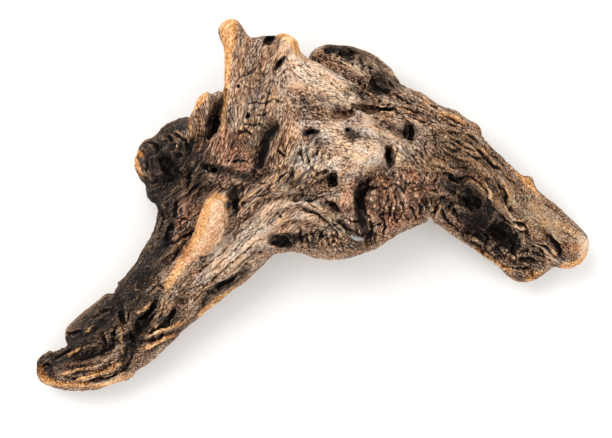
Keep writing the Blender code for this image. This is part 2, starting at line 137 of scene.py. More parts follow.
# Each limb is a list of stations: x, y, height of its middle, half width, half depth
LIMBS = {
    "left_arm": (
        (214, 192, 50, 36, 30),
        (178.5, 160.5, 44, 38.7, 28),
        (146.5, 131, 40, 35.3, 27),
        (118.5, 103.5, 35, 33, 25),
        (93.5, 81, 30, 33.3, 22),
        (70.5, 64.5, 25, 29.3, 20),
        (50, 55.5, 22, 21, 17),
        (36.8, 53.3, 20, 14.8, 13),
    ),
    "left_flank": (
        (150, 206, 40, 25, 22),
        (144, 184, 38, 19.5, 22),
        (135, 160, 36, 14.5, 20),
        (119, 137, 33, 12, 18),
    ),
    "left_knob": (
        (176, 230, 46, 30, 28),
        (150, 225, 42, 32, 25),
        (131, 221, 40, 28, 21),
        (120, 221.5, 38, 20.5, 13),
    ),
    "stub": (
        (135, 118, 56, 6, 6),
        (147, 134, 63, 8, 8),
        (161, 151, 69, 10.5, 9),
        (168.5, 165, 75, 12, 9.5),
        (173, 177, 80, 12, 9.5),
        (174.5, 184, 83, 10, 9),
    ),
    "fin": (
        (160, 236, 54, 15, 16),
        (163, 255, 59, 11, 12),
        (166.5, 268.5, 61, 8, 10),
    ),
    "cleft_floor": (
        (174, 236, 42, 12, 16),
        (174, 262, 44, 9, 12),
        (175, 270, 44, 8.5, 9),
    ),
    "shoulder": (
        (245, 214, 64, 42, 30),
        (217, 258, 65, 37, 26),
        (212, 288, 64, 31.5, 20),
        (210, 306.5, 62, 27, 14),
    ),
    "horn": (
        (196, 292, 64, 15, 15),
        (191, 311, 67, 12, 12),
        (185.2, 323.5, 69, 10.6, 10),
    ),
    "crest": (
        (224, 292, 66, 17, 16),
        (228, 309, 67, 13, 13),
    ),
    "pale_slope": (
        (228, 298, 66, 13, 13),
        (250, 282, 70, 17, 18),
        (276, 262, 74, 22, 20),
    ),
    "back_rib": (
        (263, 299.5, 44, 16.8, 20),
        (283.5, 291, 46, 21.5, 22),
        (298, 283, 47, 20, 21),
        (315, 269.5, 49, 14.5, 19),
        (335, 260, 50, 15.5, 18),
        (360, 252.5, 52, 8, 10),
        (380.5, 246.3, 52, 4.4, 6),
    ),
    "belly": (
        (205, 178, 50, 33, 30),
        (240, 184, 54, 36.5, 32),
        (272, 181, 54, 38.5, 30),
        (312, 193, 54, 31.5, 27),
        (336, 199, 50, 26.5, 24),
    ),
    "right_ridge": (
        (296, 234, 60, 34, 30),
        (343, 231, 60, 37, 28),
        (373, 211, 54, 29.5, 26),
        (406, 186, 46, 26, 23),
        (437, 164, 36, 24, 19),
        (459.5, 151.5, 29, 18.9, 14),
    ),
    "right_web": (
        (338, 208, 32, 24, 16),
        (385, 184, 28, 26, 14),
        (425, 158, 22, 22, 12),
        (446, 150, 20, 14, 11),
    ),
    "right_keel": (
        (330, 194, 42, 18, 20),
        (353, 184, 40, 13, 17),
        (376, 168, 35, 13, 16),
        (400, 152.5, 29, 12, 15),
        (422.5, 137, 24, 14.5, 14),
        (434, 139, 23, 10.5, 12),
    ),
    "thorn": (
        (419, 196, 44, 9, 9),
        (424, 203, 46, 6, 6),
        (423.5, 208, 47, 3.6, 3.8),
    ),
    "arm_lip": (
        (74, 97, 32, 9, 10),
        (61, 88, 30, 8, 9),
        (54, 84.5, 29, 5.5, 6),
    ),
    "under_root": (
        (128, 128, 26, 20, 16),
        (205, 200, 26, 38, 18),
        (290, 212, 26, 38, 18),
        (360, 214, 30, 28, 18),
    ),
    "back_root": (
        (238, 250, 46, 20, 18),
        (218, 276, 24, 15, 14),
        (209, 286, 8, 12, 10),
    ),
}

# Each swelling is a squashed ball: x, y, height, and its three half sizes
SWELLINGS = {
    "mound": (264, 224, 60, 50, 38, 40),
    "boss": (286, 234, 78, 26, 22, 24),
    "burl": (320, 192, 62, 29, 24, 26),
    "knob_heel": (125.3, 199, 37, 10.4, 12, 14),
    "rim_heel": (94, 51.5, 24, 13, 9.5, 12),
    "left_foot": (66, 62, 11, 16, 14, 11),
    "right_foot": (434, 156, 11, 16, 14, 11),
}

# Each hollow is a squashed ball of decay: x, y, height, three half sizes, turn in degrees
HOLLOWS = {
    "shoulder_cleft": (174, 257, 80, 5.5, 20, 32, -20),
    "long_cleft": (297, 261.5, 84, 20, 4.2, 17, -2),
    "cleft_hollow": (273, 257, 93, 9, 5, 11, 15),
    "pit": (326, 244, 86, 5, 8, 17, 0),
    "pit_shelf": (312, 247, 91, 13, 5.5, 9, 0),
    "side_slit": (310, 224, 90, 4.2, 11, 20, 6),
    "three_cornered_hole": (265, 205, 97, 5.5, 6.5, 18, 0),
    "band_slit": (266, 185, 86, 8, 3.5, 12, -35),
    "charred_dent": (303, 281, 68, 11, 8, 9, -15),
    "rib_hole": (278, 307, 66, 7.5, 6, 13, 0),
    "rib_pit": (262, 310, 64, 5, 4, 9, 20),
    "knob_hollow": (134, 218, 67, 8, 12, 13, 30),
    "knob_dent": (133, 237, 66, 9, 6, 9, -20),
    "fringe_hollow": (226, 158, 74, 10, 5.5, 11, 5),
    "arm_hollow": (119, 97, 62, 6, 12, 13, -40),
    "trough_pocket": (400, 165, 48, 11, 7, 15, -35),
    "trough_head": (375, 190, 62, 13, 8, 16, -40),
    "saddle_knot": (216, 316, 76, 4.4, 5, 14, 0),
    "arm_notch": (86, 118.8, 40, 6.5, 5, 40, 10),
    "tip_notch": (44, 75, 30, 8, 7, 40, 35),
    "web_notch": (344, 170, 40, 3, 9, 60, 0),
    "under_hollow": (256, 206, -2, 44, 16, 16, 10),
    "under_arm_hollow": (140, 128, 4, 9, 34, 11, -42),
    "under_ridge_hollow": (392, 190, 5, 30, 8, 10, -36),
}

# How uneven the hollows are, and how many bumps they have over their radius
HOLLOW_WARP = 0.55
HOLLOW_KNOBS = 1.5

# Each worm hole or knot hole is a short tapered bore: x, y, radius, length over width, turn in degrees
BORES = {
    "horn_bore": (192, 279, 1.9, 1.1, 0),
    "shoulder_bore": (199.5, 255.5, 2.8, 1.2, 80),
    "boss_bore": (277, 244, 2.2, 1.2, 0),
    "mound_bore": (248, 242.5, 2.4, 2.0, 0),
    "slab_bore": (172, 213.5, 2.8, 1.3, 0),
    "crest_slit": (224.5, 297.5, 2.1, 2.2, 48),
    "cleft_bore": (281, 264, 1.8, 1.2, 0),
}

# Depth of the bores in millimetres, their sides, and how narrow they end
BORE_DEPTH = 11.0
BORE_SIDES = 16
BORE_TAPER = 0.55

# Each crease is a furrow pressed into the upper side, or a ridge where its depth is less than nothing:
# x, y, half width, depth
CREASES = {
    "slab_rim": ((187, 330, 6, -1), (185, 305, 5, -3), (185, 280, 5, -3), (184, 262, 5, -2.5),
                 (179, 245, 5, -2), (182, 226, 5, -1)),
    "slab_dish": ((212, 314, 12, 2), (209, 297, 20, 5), (206, 275, 18, 4), (204, 258, 14, 1)),
    "crest_rim": ((226, 320, 6, -1), (234, 306, 6, -3), (238, 292, 7, -2)),
    "slab_foot": ((160, 217, 4, 2), (172, 214, 5, 6), (188, 211, 4, 3), (203, 208, 5, 7)),
    "shoulder_groove": ((226, 251, 7, 2), (217, 247, 9, 8), (210, 237, 9, 10), (206, 225, 8, 10),
                        (203, 215, 6, 3)),
    "mound_foot": ((203, 207, 5, 6), (214, 209, 3.5, 4), (228, 215, 3, 3), (240, 224, 3, 1)),
    "band_top": ((196, 181, 3, 1), (215, 190, 3.5, 3.5), (238, 192, 3.5, 4), (256, 189, 3.5, 4.5),
                 (268, 180, 3.5, 4.5), (277, 169, 3.5, 3.5), (286, 160, 3, 2)),
    "band_low": ((205, 170, 3, 1), (222, 180, 3.5, 3), (240, 184, 3.5, 3.5), (255, 178, 3.5, 3.5),
                 (263, 167, 3.5, 3.5), (268, 153, 3, 2)),
    "band_under": ((214, 160, 4, 2), (232, 171, 4, 4), (248, 170, 4, 4), (257, 160, 4, 2)),
    "stub_right": ((186, 200, 5, 3), (187, 184, 5, 9), (185, 166, 4.5, 8), (180, 153, 3.5, 5),
                   (172, 145, 3, 1)),
    "stub_left": ((163, 198, 4, 3), (157, 180, 4.5, 6), (152, 164, 4.5, 6), (143, 150, 4.5, 6),
                  (131, 138, 4, 4), (123, 130, 3, 1)),
    "char_line": ((128, 184, 3, 1), (137, 172, 3.5, 4), (134, 157, 3.5, 3), (126, 146, 3, 1)),
    "arm_valley": ((131, 120, 4, 2), (124, 108, 5, 6), (118, 96, 6, 7), (111, 86, 5, 6),
                   (104, 74, 4, 6), (100, 62, 3.5, 6), (99, 50, 3, 4)),
    "arm_side": ((153, 122, 3, 1), (146, 110, 4, 4), (137, 97, 4, 4.5), (129, 87, 3, 2)),
    "rim_layer": ((111, 77, 3, 3), (128, 81, 3, 4), (143, 85, 3, 2)),
    "rim_ridge": ((110, 82, 3, -1), (126, 86, 3.5, -3), (148, 94, 3, -2)),
    "lower_strip": ((152, 98, 3, 1), (168, 117, 3.5, 4), (184, 125, 4, 5), (199, 137, 3.5, 4)),
    "tip_low": ((70, 42, 2.5, 1), (85, 45, 3, 4), (97, 50, 3, 2)),
    "tip_middle": ((50, 48, 2.5, 2), (72, 50, 3, 4), (97, 57, 3, 3)),
    "tip_high": ((46, 54, 3, 2), (70, 57, 3, 4), (97, 63, 3, 3)),
    "tip_back": ((48, 62, 3, 2), (62, 66, 4, 5), (78, 72, 4, 5), (95, 84, 3, 2)),
    "tip_char": ((52, 79, 3, 2), (68, 84, 4, 4), (85, 95, 4, 4), (98, 110, 3, 2)),
    "twist": ((92, 114, 3, 4), (97, 104, 3.5, 4), (98, 92, 3.5, 5), (101, 80, 3.5, 5)),
    "knob_fold": ((112, 227, 4, 2), (122, 230, 5, 5), (134, 238, 5, 4), (148, 244, 4, 1)),
    "knob_low": ((118, 208, 4, 2), (128, 205, 5, 5), (141, 206, 5, 4), (150, 199, 4, 1)),
    "knob_seam": ((151, 258, 3, 2), (154, 242, 3, 4), (152, 228, 3.5, 5), (153, 212, 3.5, 3)),
    "slope_edge": ((248, 303, 3, 3), (262, 298, 4, 5), (276, 291, 5, 6), (287, 280, 6, 6),
                   (292, 269, 5, 4)),
    "pit_valley": ((299, 254, 5, 4), (312, 247, 6, 5), (326, 242, 6, 5), (338, 246, 4, 2)),
    "boss_side": ((304, 250, 4, 2), (307, 234, 5, 5), (309, 220, 5, 6), (302, 211, 5, 4)),
    "burl_left": ((303, 212, 5, 5), (294, 205, 6, 9), (288, 192, 6.5, 11), (288, 179, 6.5, 10),
                  (290, 167, 5, 8), (294, 156, 4, 5)),
    "burl_top": ((300, 208, 3, 3), (316, 212, 3.5, 4.5), (334, 209, 3.5, 4), (353, 208, 4, 4)),
    "burl_crack_one": ((303, 199, 3, 2), (302, 184, 3, 4), (306, 167, 3, 2)),
    "burl_crack_two": ((312, 202, 3, 2), (318, 186, 3, 4), (312, 169, 3, 3)),
    "burl_curl": ((350, 197, 4.5, -3), (338, 197, 4.5, -4), (325, 189, 4, -3), (322, 178, 4, -2)),
    "curl_eye": ((348, 190, 3, 3), (339, 190, 3.5, 4), (335, 182, 3.5, 4), (337, 173, 3, 2)),
    "notch_fold": ((344, 174, 3, 7), (347, 182, 4, 7), (353, 190, 4, 5), (364, 196, 3, 2)),
    "trough": ((347, 207, 6, 3), (362, 203, 9, 9), (378, 190, 12, 13), (392, 176, 12, 13),
               (404, 163, 11, 12), (414, 152, 8, 6)),
    "keel_line": ((352, 178, 3, 2), (372, 168, 3.5, 4), (392, 154, 3.5, 4), (411, 141, 3, 3)),
    "ridge_crack": ((338, 243, 2.5, 1), (358, 243, 3, 3.5), (376, 235, 3, 4), (390, 222, 3.5, 5.5),
                    (397, 214, 3.5, 4), (405, 204, 2.5, 1)),
    "ridge_split": ((366, 226, 2.5, 1), (382, 222, 3, 4), (396, 206, 3.5, 5), (403, 190, 3, 4),
                    (409, 180, 2.5, 1)),
    "ridge_back": ((345, 255, 3, 2), (362, 250, 3, 3.5), (380, 238, 3, 4), (402, 218, 2.5, 1)),
    "tip_curl": ((404, 150, 3, 3), (415, 156, 3.5, 4), (426, 151, 3.5, 4), (440, 143, 3, 2)),
    "tip_round": ((430, 169, 3, 2), (442, 158, 3.5, 4), (448, 150, 3.5, 4), (451, 142, 3, 3)),
    "rib_layer": ((312, 272, 4, 3), (330, 268, 4, 4), (350, 259, 4, 4), (371, 248, 3.5, 4)),
    "rib_edge": ((308, 291, 3, 3), (325, 281, 3.5, 4), (345, 270, 3.5, 4), (361, 260, 3, 2)),
}

# The same for the under side
UNDER_CREASES = {
    "arm_groove_one": ((58, 66, 4, 2), (92, 92, 5, 6), (128, 118, 6, 7), (168, 160, 6, 6),
                       (206, 186, 5, 2)),
    "arm_groove_two": ((84, 62, 4, 2), (122, 88, 5, 5), (160, 124, 6, 6), (204, 158, 6, 5),
                       (250, 170, 5, 2)),
    "ridge_groove_one": ((300, 236, 5, 2), (346, 226, 6, 6), (386, 200, 6, 7), (426, 170, 5, 3)),
    "ridge_groove_two": ((318, 196, 4, 2), (356, 194, 5, 5), (394, 168, 5, 6), (424, 148, 4, 3)),
    "crown_groove": ((186, 300, 5, 2), (196, 262, 7, 6), (216, 226, 7, 7), (250, 206, 6, 3)),
    "back_groove": ((262, 300, 5, 3), (288, 270, 6, 6), (324, 246, 6, 5), (352, 240, 5, 2)),
    "knob_groove": ((116, 224, 4, 2), (144, 222, 6, 5), (176, 214, 6, 5), (206, 206, 5, 2)),
}

# Fine cracks and folds drawn on the upper side: half width and depth of a group, then its lines as x, y;
# a depth less than nothing raises a thin ridge
FISSURES = {
    "slab_network": (0.9, 1.2, (
        ((193, 305), (192, 298), (194, 291)), ((197, 306), (196, 297), (198, 290)),
        ((201, 303), (203, 296), (208, 294)), ((205, 301), (204, 293), (207, 287)),
        ((211, 300), (209, 292), (213, 286)), ((196, 289), (202, 291), (208, 289), (215, 290)),
        ((201, 278), (207, 278), (214, 281), (219, 284), (224, 282)),
        ((190, 270), (192, 264), (196, 261)), ((196, 274), (199, 270)),
        ((222, 275), (225, 270), (229, 268)), ((190, 292), (192, 285), (190, 279)),
        ((214, 276), (219, 272), (226, 273)), ((233, 253), (237, 251), (242, 253)),
        ((230, 262), (236, 258), (241, 261)), ((188, 240), (187, 230)),
        ((194, 240), (197, 234), (201, 237)), ((183, 236), (181, 228)), ((193, 230), (196, 225)),
        ((236, 278), (240, 274), (246, 276)),
    )),
    "slab_cracks": (1.2, 2.2, (
        ((199, 265), (206, 266), (214, 266), (220, 268), (226, 265)), ((204, 256), (210, 257), (216, 259)),
        ((195, 250), (196, 246), (200, 243)), ((194, 248), (199, 249), (212, 248)),
        ((180, 221), (190, 220), (199, 221)), ((198, 217), (200, 223)),
    )),
    "slab_split": (1.9, 4.0, (((188, 241), (197, 243), (205, 240)), ((246, 241), (250, 244), (255, 243)))),
    "groove_line": (3.0, 3.2, (((223, 248), (217, 243), (213, 235), (211, 225), (208, 214)),)),
    "groove_foot": (2.2, 4.2, (((211, 229), (209, 221), (206, 214)), ((163, 218), (169, 215), (176, 213)))),
    "fin_rungs": (0.9, 1.4, (
        ((157, 257), (163, 256)), ((156, 253), (165, 252)), ((157, 249), (165, 248)),
        ((156, 245), (165, 244)), ((157, 241), (166, 240)), ((155, 236), (164, 237)),
        ((156, 232), (166, 232)), ((156, 227), (164, 228)),
    )),
    "fin_edge": (1.6, -1.6, (((154, 259), (155, 249), (155, 240)),)),
    "knob_cracks": (2.0, 4.5, (
        ((139, 244), (146, 239), (151, 233), (154, 230)), ((135, 242), (139, 236), (145, 232)),
        ((128, 224), (133, 216), (139, 207)), ((142, 215), (146, 209)),
        ((153, 213), (152, 206), (149, 198)), ((126, 206), (120, 204)),
        ((116, 221), (118, 213), (121, 208)), ((129, 199), (134, 199)),
        ((118, 238), (124, 234), (126, 228)), ((141, 228), (147, 224)),
    )),
    "flank_cracks": (1.9, 4.0, (
        ((141, 191), (141, 183), (140, 177)), ((138, 172), (136, 164), (133, 157)),
        ((157, 168), (153, 163), (147, 161), (140, 158), (134, 155)), ((129, 182), (130, 172), (128, 166)),
        ((134, 190), (133, 180)), ((150, 192), (155, 198), (161, 203)),
    )),
    "flank_fine": (1.1, 1.8, (
        ((141, 177), (147, 176), (153, 174)), ((146, 186), (146, 176), (144, 166)),
        ((152, 186), (152, 178), (149, 168)), ((158, 206), (166, 212), (172, 217)),
        ((151, 160), (146, 152), (141, 145), (136, 138)), ((156, 160), (150, 150), (144, 141)),
        ((174, 206), (178, 200), (183, 198)), ((166, 205), (171, 200)),
        ((184, 208), (188, 200), (190, 190)), ((194, 206), (195, 196), (191, 188)),
    )),
    "stub_shadow": (2.0, 4.4, (
        ((190, 192), (189, 185), (187, 177)), ((189, 181), (194, 186), (198, 190)),
    )),
    "arm_dents": (3.4, 2.6, (
        ((140, 112), (145, 110), (151, 110)), ((156, 144), (161, 144), (167, 143)),
        ((175, 143), (178, 146), (182, 150)), ((153, 138), (156, 141)),
    )),
    "arm_lines": (1.1, 1.7, (
        ((150, 127), (165, 137), (180, 152), (196, 168), (208, 179)),
        ((158, 126), (175, 138), (190, 152), (205, 166)),
        ((168, 123), (182, 136), (196, 148), (212, 162)), ((186, 132), (196, 141), (207, 151)),
        ((176, 158), (186, 168), (197, 178), (208, 186)),
        ((184, 172), (192, 182), (202, 192), (212, 199)), ((181, 157), (190, 167), (203, 180)),
        ((172, 150), (183, 162)), ((190, 148), (203, 162), (216, 172)),
        ((134, 112), (131, 103), (127, 94)), ((140, 118), (136, 108)),
        ((150, 118), (158, 122), (168, 123)), ((155, 108), (160, 114), (168, 119)),
        ((200, 150), (206, 157), (213, 160)), ((145, 100), (152, 106)),
        ((122, 108), (125, 100), (124, 92)), ((196, 186), (206, 192), (216, 197)),
    )),
    "arm_slits": (1.8, 4.2, (
        ((173, 121), (181, 125), (190, 130)), ((163, 110), (164, 103)), ((170, 118), (175, 112)),
        ((197, 140), (202, 137)), ((206, 148), (213, 147)), ((140, 103), (136, 96), (133, 90)),
        ((211, 197), (215, 200), (219, 203)),
    )),
    "fold_cracks": (1.9, 4.6, (
        ((94, 91), (91, 83), (90, 75), (88, 70)),
        ((101, 91), (104, 84), (106, 76), (106, 67), (103, 61), (100, 55)),
        ((97, 103), (98, 95), (100, 90)), ((105, 103), (102, 96), (101, 90)),
        ((127, 112), (121, 101), (113, 95), (110, 86)), ((113, 76), (118, 78)),
        ((62, 63), (70, 66), (79, 68), (88, 71)), ((58, 50), (66, 52), (75, 55), (85, 57), (96, 61)),
        ((61, 42), (71, 44), (80, 47), (90, 50), (99, 55)), ((40, 62), (48, 66), (55, 70)),
        ((48, 84), (56, 82), (63, 85)), ((50, 48), (55, 46), (60, 47)), ((30, 56), (34, 58), (39, 56)),
        ((117, 84), (125, 87), (133, 91)), ((118, 78), (127, 80), (136, 84)),
        ((72, 96), (80, 101), (90, 103)), ((80, 84), (84, 77), (83, 72)),
    )),
    "fold_ridges": (1.8, -2.0, (
        ((50, 50), (58, 53), (67, 56)), ((58, 45), (70, 49), (80, 52), (90, 56), (98, 59)),
        ((54, 65), (60, 68), (64, 71)), ((65, 81), (69, 85), (74, 89)), ((93, 93), (90, 86)),
        ((97, 90), (98, 81), (97, 73), (98, 67)), ((103, 80), (104, 72), (102, 66)),
        ((112, 79), (120, 82), (129, 86), (137, 89)), ((112, 71), (121, 74), (130, 79), (138, 82)),
        ((106, 96), (106, 88), (108, 82)), ((111, 100), (116, 104), (122, 109)),
        ((81, 62), (87, 65), (93, 68)), ((72, 41), (84, 43), (95, 46)),
    )),
    "mound_folds": (1.5, 3.0, (
        ((220, 203), (225, 208), (229, 211), (234, 211)),
        ((236, 221), (234, 215), (233, 210), (236, 205)), ((236, 222), (240, 218)),
        ((221, 231), (225, 226), (230, 222)), ((241, 232), (240, 224), (242, 218)),
        ((246, 231), (245, 224), (247, 216)), ((250, 229), (250, 221)), ((254, 231), (252, 222)),
        ((260, 227), (256, 222), (257, 217)), ((247, 216), (250, 213), (254, 211)),
        ((250, 209), (256, 209), (261, 211), (266, 211)), ((252, 201), (256, 203), (261, 207)),
        ((204, 208), (208, 204), (214, 203)), ((231, 202), (238, 204)), ((241, 199), (242, 193)),
        ((228, 218), (229, 213)),
    )),
    "mound_ridges": (1.5, -1.6, (
        ((238, 231), (237, 225)), ((243, 232), (243, 224), (244, 217)), ((248, 231), (248, 222)),
        ((252, 229), (255, 221)), ((262, 226), (259, 219)), ((222, 206), (227, 212)),
    )),
    "belly_cracks": (1.3, 2.8, (
        ((242, 191), (249, 190), (256, 191), (262, 190)), ((246, 190), (250, 186), (256, 182)),
        ((234, 190), (240, 191)),
        ((240, 184), (246, 181), (252, 180), (257, 176), (263, 170), (268, 163), (273, 157)),
        ((271, 177), (276, 175), (282, 173), (290, 174)), ((269, 176), (275, 170), (281, 165)),
        ((264, 173), (270, 167), (275, 161)), ((262, 165), (262, 157), (265, 150)),
        ((272, 160), (274, 151)), ((223, 180), (225, 174)), ((241, 169), (240, 159), (242, 151)),
        ((246, 168), (245, 159), (247, 151)), ((250, 166), (250, 157)), ((256, 166), (255, 156)),
        ((268, 163), (266, 155)), ((284, 169), (287, 161)), ((220, 190), (228, 192)),
        ((222, 197), (227, 194)),
    )),
    "belly_slit": (1.8, 4.2, (((262, 188), (267, 186), (271, 181)),)),
    "burl_edge": (2.0, 4.6, (
        ((299, 209), (293, 205), (290, 198), (287, 190), (290, 183), (294, 176), (297, 168), (294, 160)),
        ((289, 200), (296, 200), (304, 200)),
    )),
    "burl_cracks": (1.2, 2.8, (
        ((302, 200), (308, 199), (313, 202), (319, 201), (322, 194)),
        ((309, 199), (308, 190), (305, 182), (303, 175)),
        ((315, 204), (314, 196), (316, 188), (314, 180), (317, 173)),
        ((303, 178), (306, 172), (306, 164), (305, 155)), ((298, 171), (303, 170), (306, 172)),
        ((311, 189), (310, 180), (309, 171)), ((300, 164), (299, 154)),
        ((320, 206), (323, 203), (329, 204), (333, 203)), ((327, 212), (330, 207)),
        ((333, 203), (334, 199), (330, 197), (325, 199)), ((322, 193), (321, 198), (325, 203)),
        ((340, 211), (338, 206), (334, 203)), ((341, 202), (346, 205), (348, 210)),
        ((320, 190), (319, 182), (318, 176), (314, 171)),
        ((324, 187), (329, 180), (332, 174), (334, 170)), ((306, 209), (310, 204)),
        ((312, 212), (314, 206)), ((318, 212), (320, 206)), ((313, 162), (318, 168)),
        ((322, 178), (326, 172)),
    )),
    "curl_lines": (1.3, 2.4, (
        ((330, 189), (334, 184), (335, 177)), ((334, 191), (338, 186), (339, 178)),
        ((338, 191), (342, 185), (342, 177)), ((343, 191), (346, 185), (345, 178)),
        ((341, 200), (343, 197), (352, 197)), ((347, 190), (350, 184)),
    )),
    "notch_cracks": (2.0, 5.0, (
        ((345, 173), (346, 180), (350, 188)), ((356, 198), (361, 196), (366, 192)),
        ((360, 187), (357, 181)),
    )),
    "keel_lines": (1.2, 2.4, (
        ((352, 187), (353, 180), (358, 174), (363, 168), (369, 162), (375, 156)),
        ((355, 178), (361, 170), (368, 164)), ((372, 166), (377, 161)),
        ((378, 157), (386, 152), (395, 146)), ((396, 150), (401, 146), (404, 141)),
        ((360, 184), (366, 178)), ((364, 180), (367, 172)), ((400, 139), (408, 136), (414, 135)),
        ((372, 160), (380, 153), (388, 148)),
    )),
    "ridge_lip": (1.6, 4.0, (
        ((362, 206), (370, 207), (378, 205), (383, 200), (388, 194), (390, 186)),
        ((350, 213), (356, 210), (361, 206), (366, 202)),
        ((402, 178), (405, 173), (410, 172), (416, 171), (420, 166), (421, 159)),
        ((357, 239), (363, 236), (370, 232), (378, 229), (386, 222), (393, 217), (402, 212)),
        ((396, 204), (399, 199), (402, 192), (403, 186), (408, 180)),
        ((436, 163), (441, 160), (445, 156), (448, 151), (448, 144)),
    )),
    "ridge_lines": (1.0, 2.0, (
        ((385, 206), (389, 200), (391, 194), (392, 187)), ((381, 205), (384, 198), (388, 192)),
        ((361, 246), (368, 243), (376, 240), (383, 234)), ((356, 243), (366, 241), (373, 243)),
        ((364, 236), (372, 236), (379, 233)), ((330, 240), (338, 241), (346, 241), (353, 241)),
        ((343, 247), (344, 241), (346, 235), (346, 229)), ((332, 235), (336, 232)),
        ((338, 238), (337, 232), (338, 226), (342, 222)),
        ((345, 225), (350, 222), (353, 221), (353, 216)),
        ((356, 217), (362, 214), (368, 215), (375, 213)), ((385, 219), (384, 214), (386, 209)),
        ((383, 211), (388, 206), (392, 210)), ((411, 204), (414, 199), (419, 197)),
        ((416, 189), (418, 185)), ((442, 173), (442, 168)),
        ((415, 209), (424, 199), (434, 190), (442, 183), (453, 175)),
        ((420, 207), (430, 197), (440, 188), (452, 179)),
        ((378, 248), (390, 238), (402, 226), (412, 214)), ((384, 238), (394, 229), (404, 220)),
        ((386, 232), (392, 226), (398, 222)), ((368, 229), (376, 224), (384, 221)),
        ((350, 232), (358, 229), (366, 227)), ((392, 204), (395, 199), (396, 192)),
        ((344, 254), (354, 250), (364, 248)), ((350, 258), (360, 253), (372, 247)),
        ((410, 196), (412, 190)), ((346, 215), (356, 214)), ((316, 236), (316, 229), (313, 223)),
        ((300, 230), (303, 226), (305, 221)), ((326, 228), (329, 223)), ((424, 176), (430, 170)),
        ((448, 166), (456, 162), (464, 158)), ((450, 158), (456, 152)),
        ((334, 247), (342, 250), (352, 250)), ((330, 230), (334, 226), (336, 220)),
        ((349, 236), (356, 235), (362, 231), (368, 228)),
        ((352, 227), (358, 224), (366, 221), (372, 220)), ((376, 231), (384, 226), (390, 219)),
        ((398, 216), (404, 208), (412, 201)), ((400, 222), (408, 214), (416, 206)),
        ((390, 230), (398, 221), (404, 213)),
    )),
    "tip_curls": (1.5, 3.0, (
        ((421, 159), (426, 155), (433, 154), (438, 150), (442, 145), (448, 142)),
        ((424, 153), (430, 152), (434, 148), (438, 143)), ((427, 149), (433, 145), (440, 142)),
        ((411, 160), (415, 165), (420, 164)), ((410, 159), (412, 150), (414, 143), (413, 139)),
        ((414, 148), (421, 149), (427, 150)), ((415, 142), (422, 143), (429, 141)),
        ((407, 149), (408, 142)), ((412, 135), (419, 135), (425, 136)), ((427, 134), (428, 128)),
        ((386, 169), (389, 162), (389, 152)), ((396, 152), (400, 155), (404, 153)),
    )),
    "tip_ridges": (1.5, -2.0, (
        ((422, 162), (427, 158), (434, 157), (440, 152), (445, 146)),
        ((416, 145), (421, 146), (427, 146)), ((380, 151), (395, 142), (410, 133)),
        ((413, 138), (420, 139), (427, 137)), ((430, 136), (436, 139), (441, 141)),
        ((406, 176), (412, 175), (418, 174)),
    )),
    "rib_cracks": (1.3, 2.8, (
        ((268, 300), (275, 296), (281, 293)), ((286, 304), (290, 299), (289, 292)),
        ((296, 299), (295, 292), (298, 286)), ((284, 288), (288, 284), (285, 279)),
        ((312, 292), (318, 286), (326, 281)), ((292, 282), (290, 276), (294, 272)),
        ((295, 271), (294, 266)), ((304, 271), (301, 265)), ((310, 276), (318, 272), (328, 266)),
        ((314, 266), (324, 262), (334, 258)), ((330, 276), (338, 270), (348, 262)),
        ((326, 254), (334, 252), (342, 252)), ((312, 262), (320, 258)), ((280, 299), (284, 294)),
        ((336, 262), (346, 257), (356, 252)), ((300, 305), (306, 299)),
        ((322, 270), (332, 264), (342, 258)), ((308, 284), (314, 279)),
    )),
    "rib_splits": (2.0, 4.5, (
        ((372, 253), (377, 249), (383, 246)), ((268, 304), (276, 308), (284, 306)),
        ((300, 262), (307, 261), (314, 262)), ((270, 258), (276, 257), (283, 260)),
        ((297, 283), (303, 278), (309, 276)), ((327, 249), (328, 242), (326, 235)),
    )),
    "trough_ribs": (2.6, -3.0, (
        ((396, 180), (393, 175), (390, 170)),
        ((371, 168), (378, 166), (385, 168), (390, 163), (391, 157)),
        ((393, 152), (399, 156), (404, 153)), ((340, 195), (350, 196), (359, 195), (365, 191)),
        ((352, 188), (356, 193), (362, 196), (370, 195)),
        ((359, 183), (364, 186), (367, 181), (366, 176)), ((357, 203), (365, 203), (374, 203)),
        ((413, 166), (418, 160), (418, 152)), ((377, 161), (382, 157), (388, 153)),
        ((384, 205), (389, 198), (391, 190)), ((396, 146), (402, 150), (408, 148)),
        ((408, 172), (414, 169), (419, 165)),
    )),
    "knob_ribs": (2.2, -2.4, (
        ((110, 228), (115, 232), (118, 226)), ((120, 222), (122, 214), (121, 206)),
        ((126, 236), (131, 238), (136, 240)), ((128, 206), (133, 203), (139, 202)),
        ((144, 212), (147, 216), (151, 214)), ((140, 246), (145, 243), (147, 239)),
        ((150, 208), (154, 214), (155, 220)), ((142, 206), (148, 204), (151, 200)),
    )),
    "horn_lines": (0.9, 1.0, (
        ((188, 328), (189, 320), (190, 312)), ((184, 326), (184, 316), (186, 306)),
        ((194, 322), (194, 312), (192, 304)), ((199, 318), (199, 308)), ((181, 322), (182, 312)),
        ((240, 310), (246, 302), (252, 296)), ((234, 308), (240, 298), (248, 288)),
        ((242, 300), (250, 292), (260, 286)), ((254, 290), (262, 282), (270, 276)),
        ((264, 286), (272, 278), (278, 270)),
    )),
}

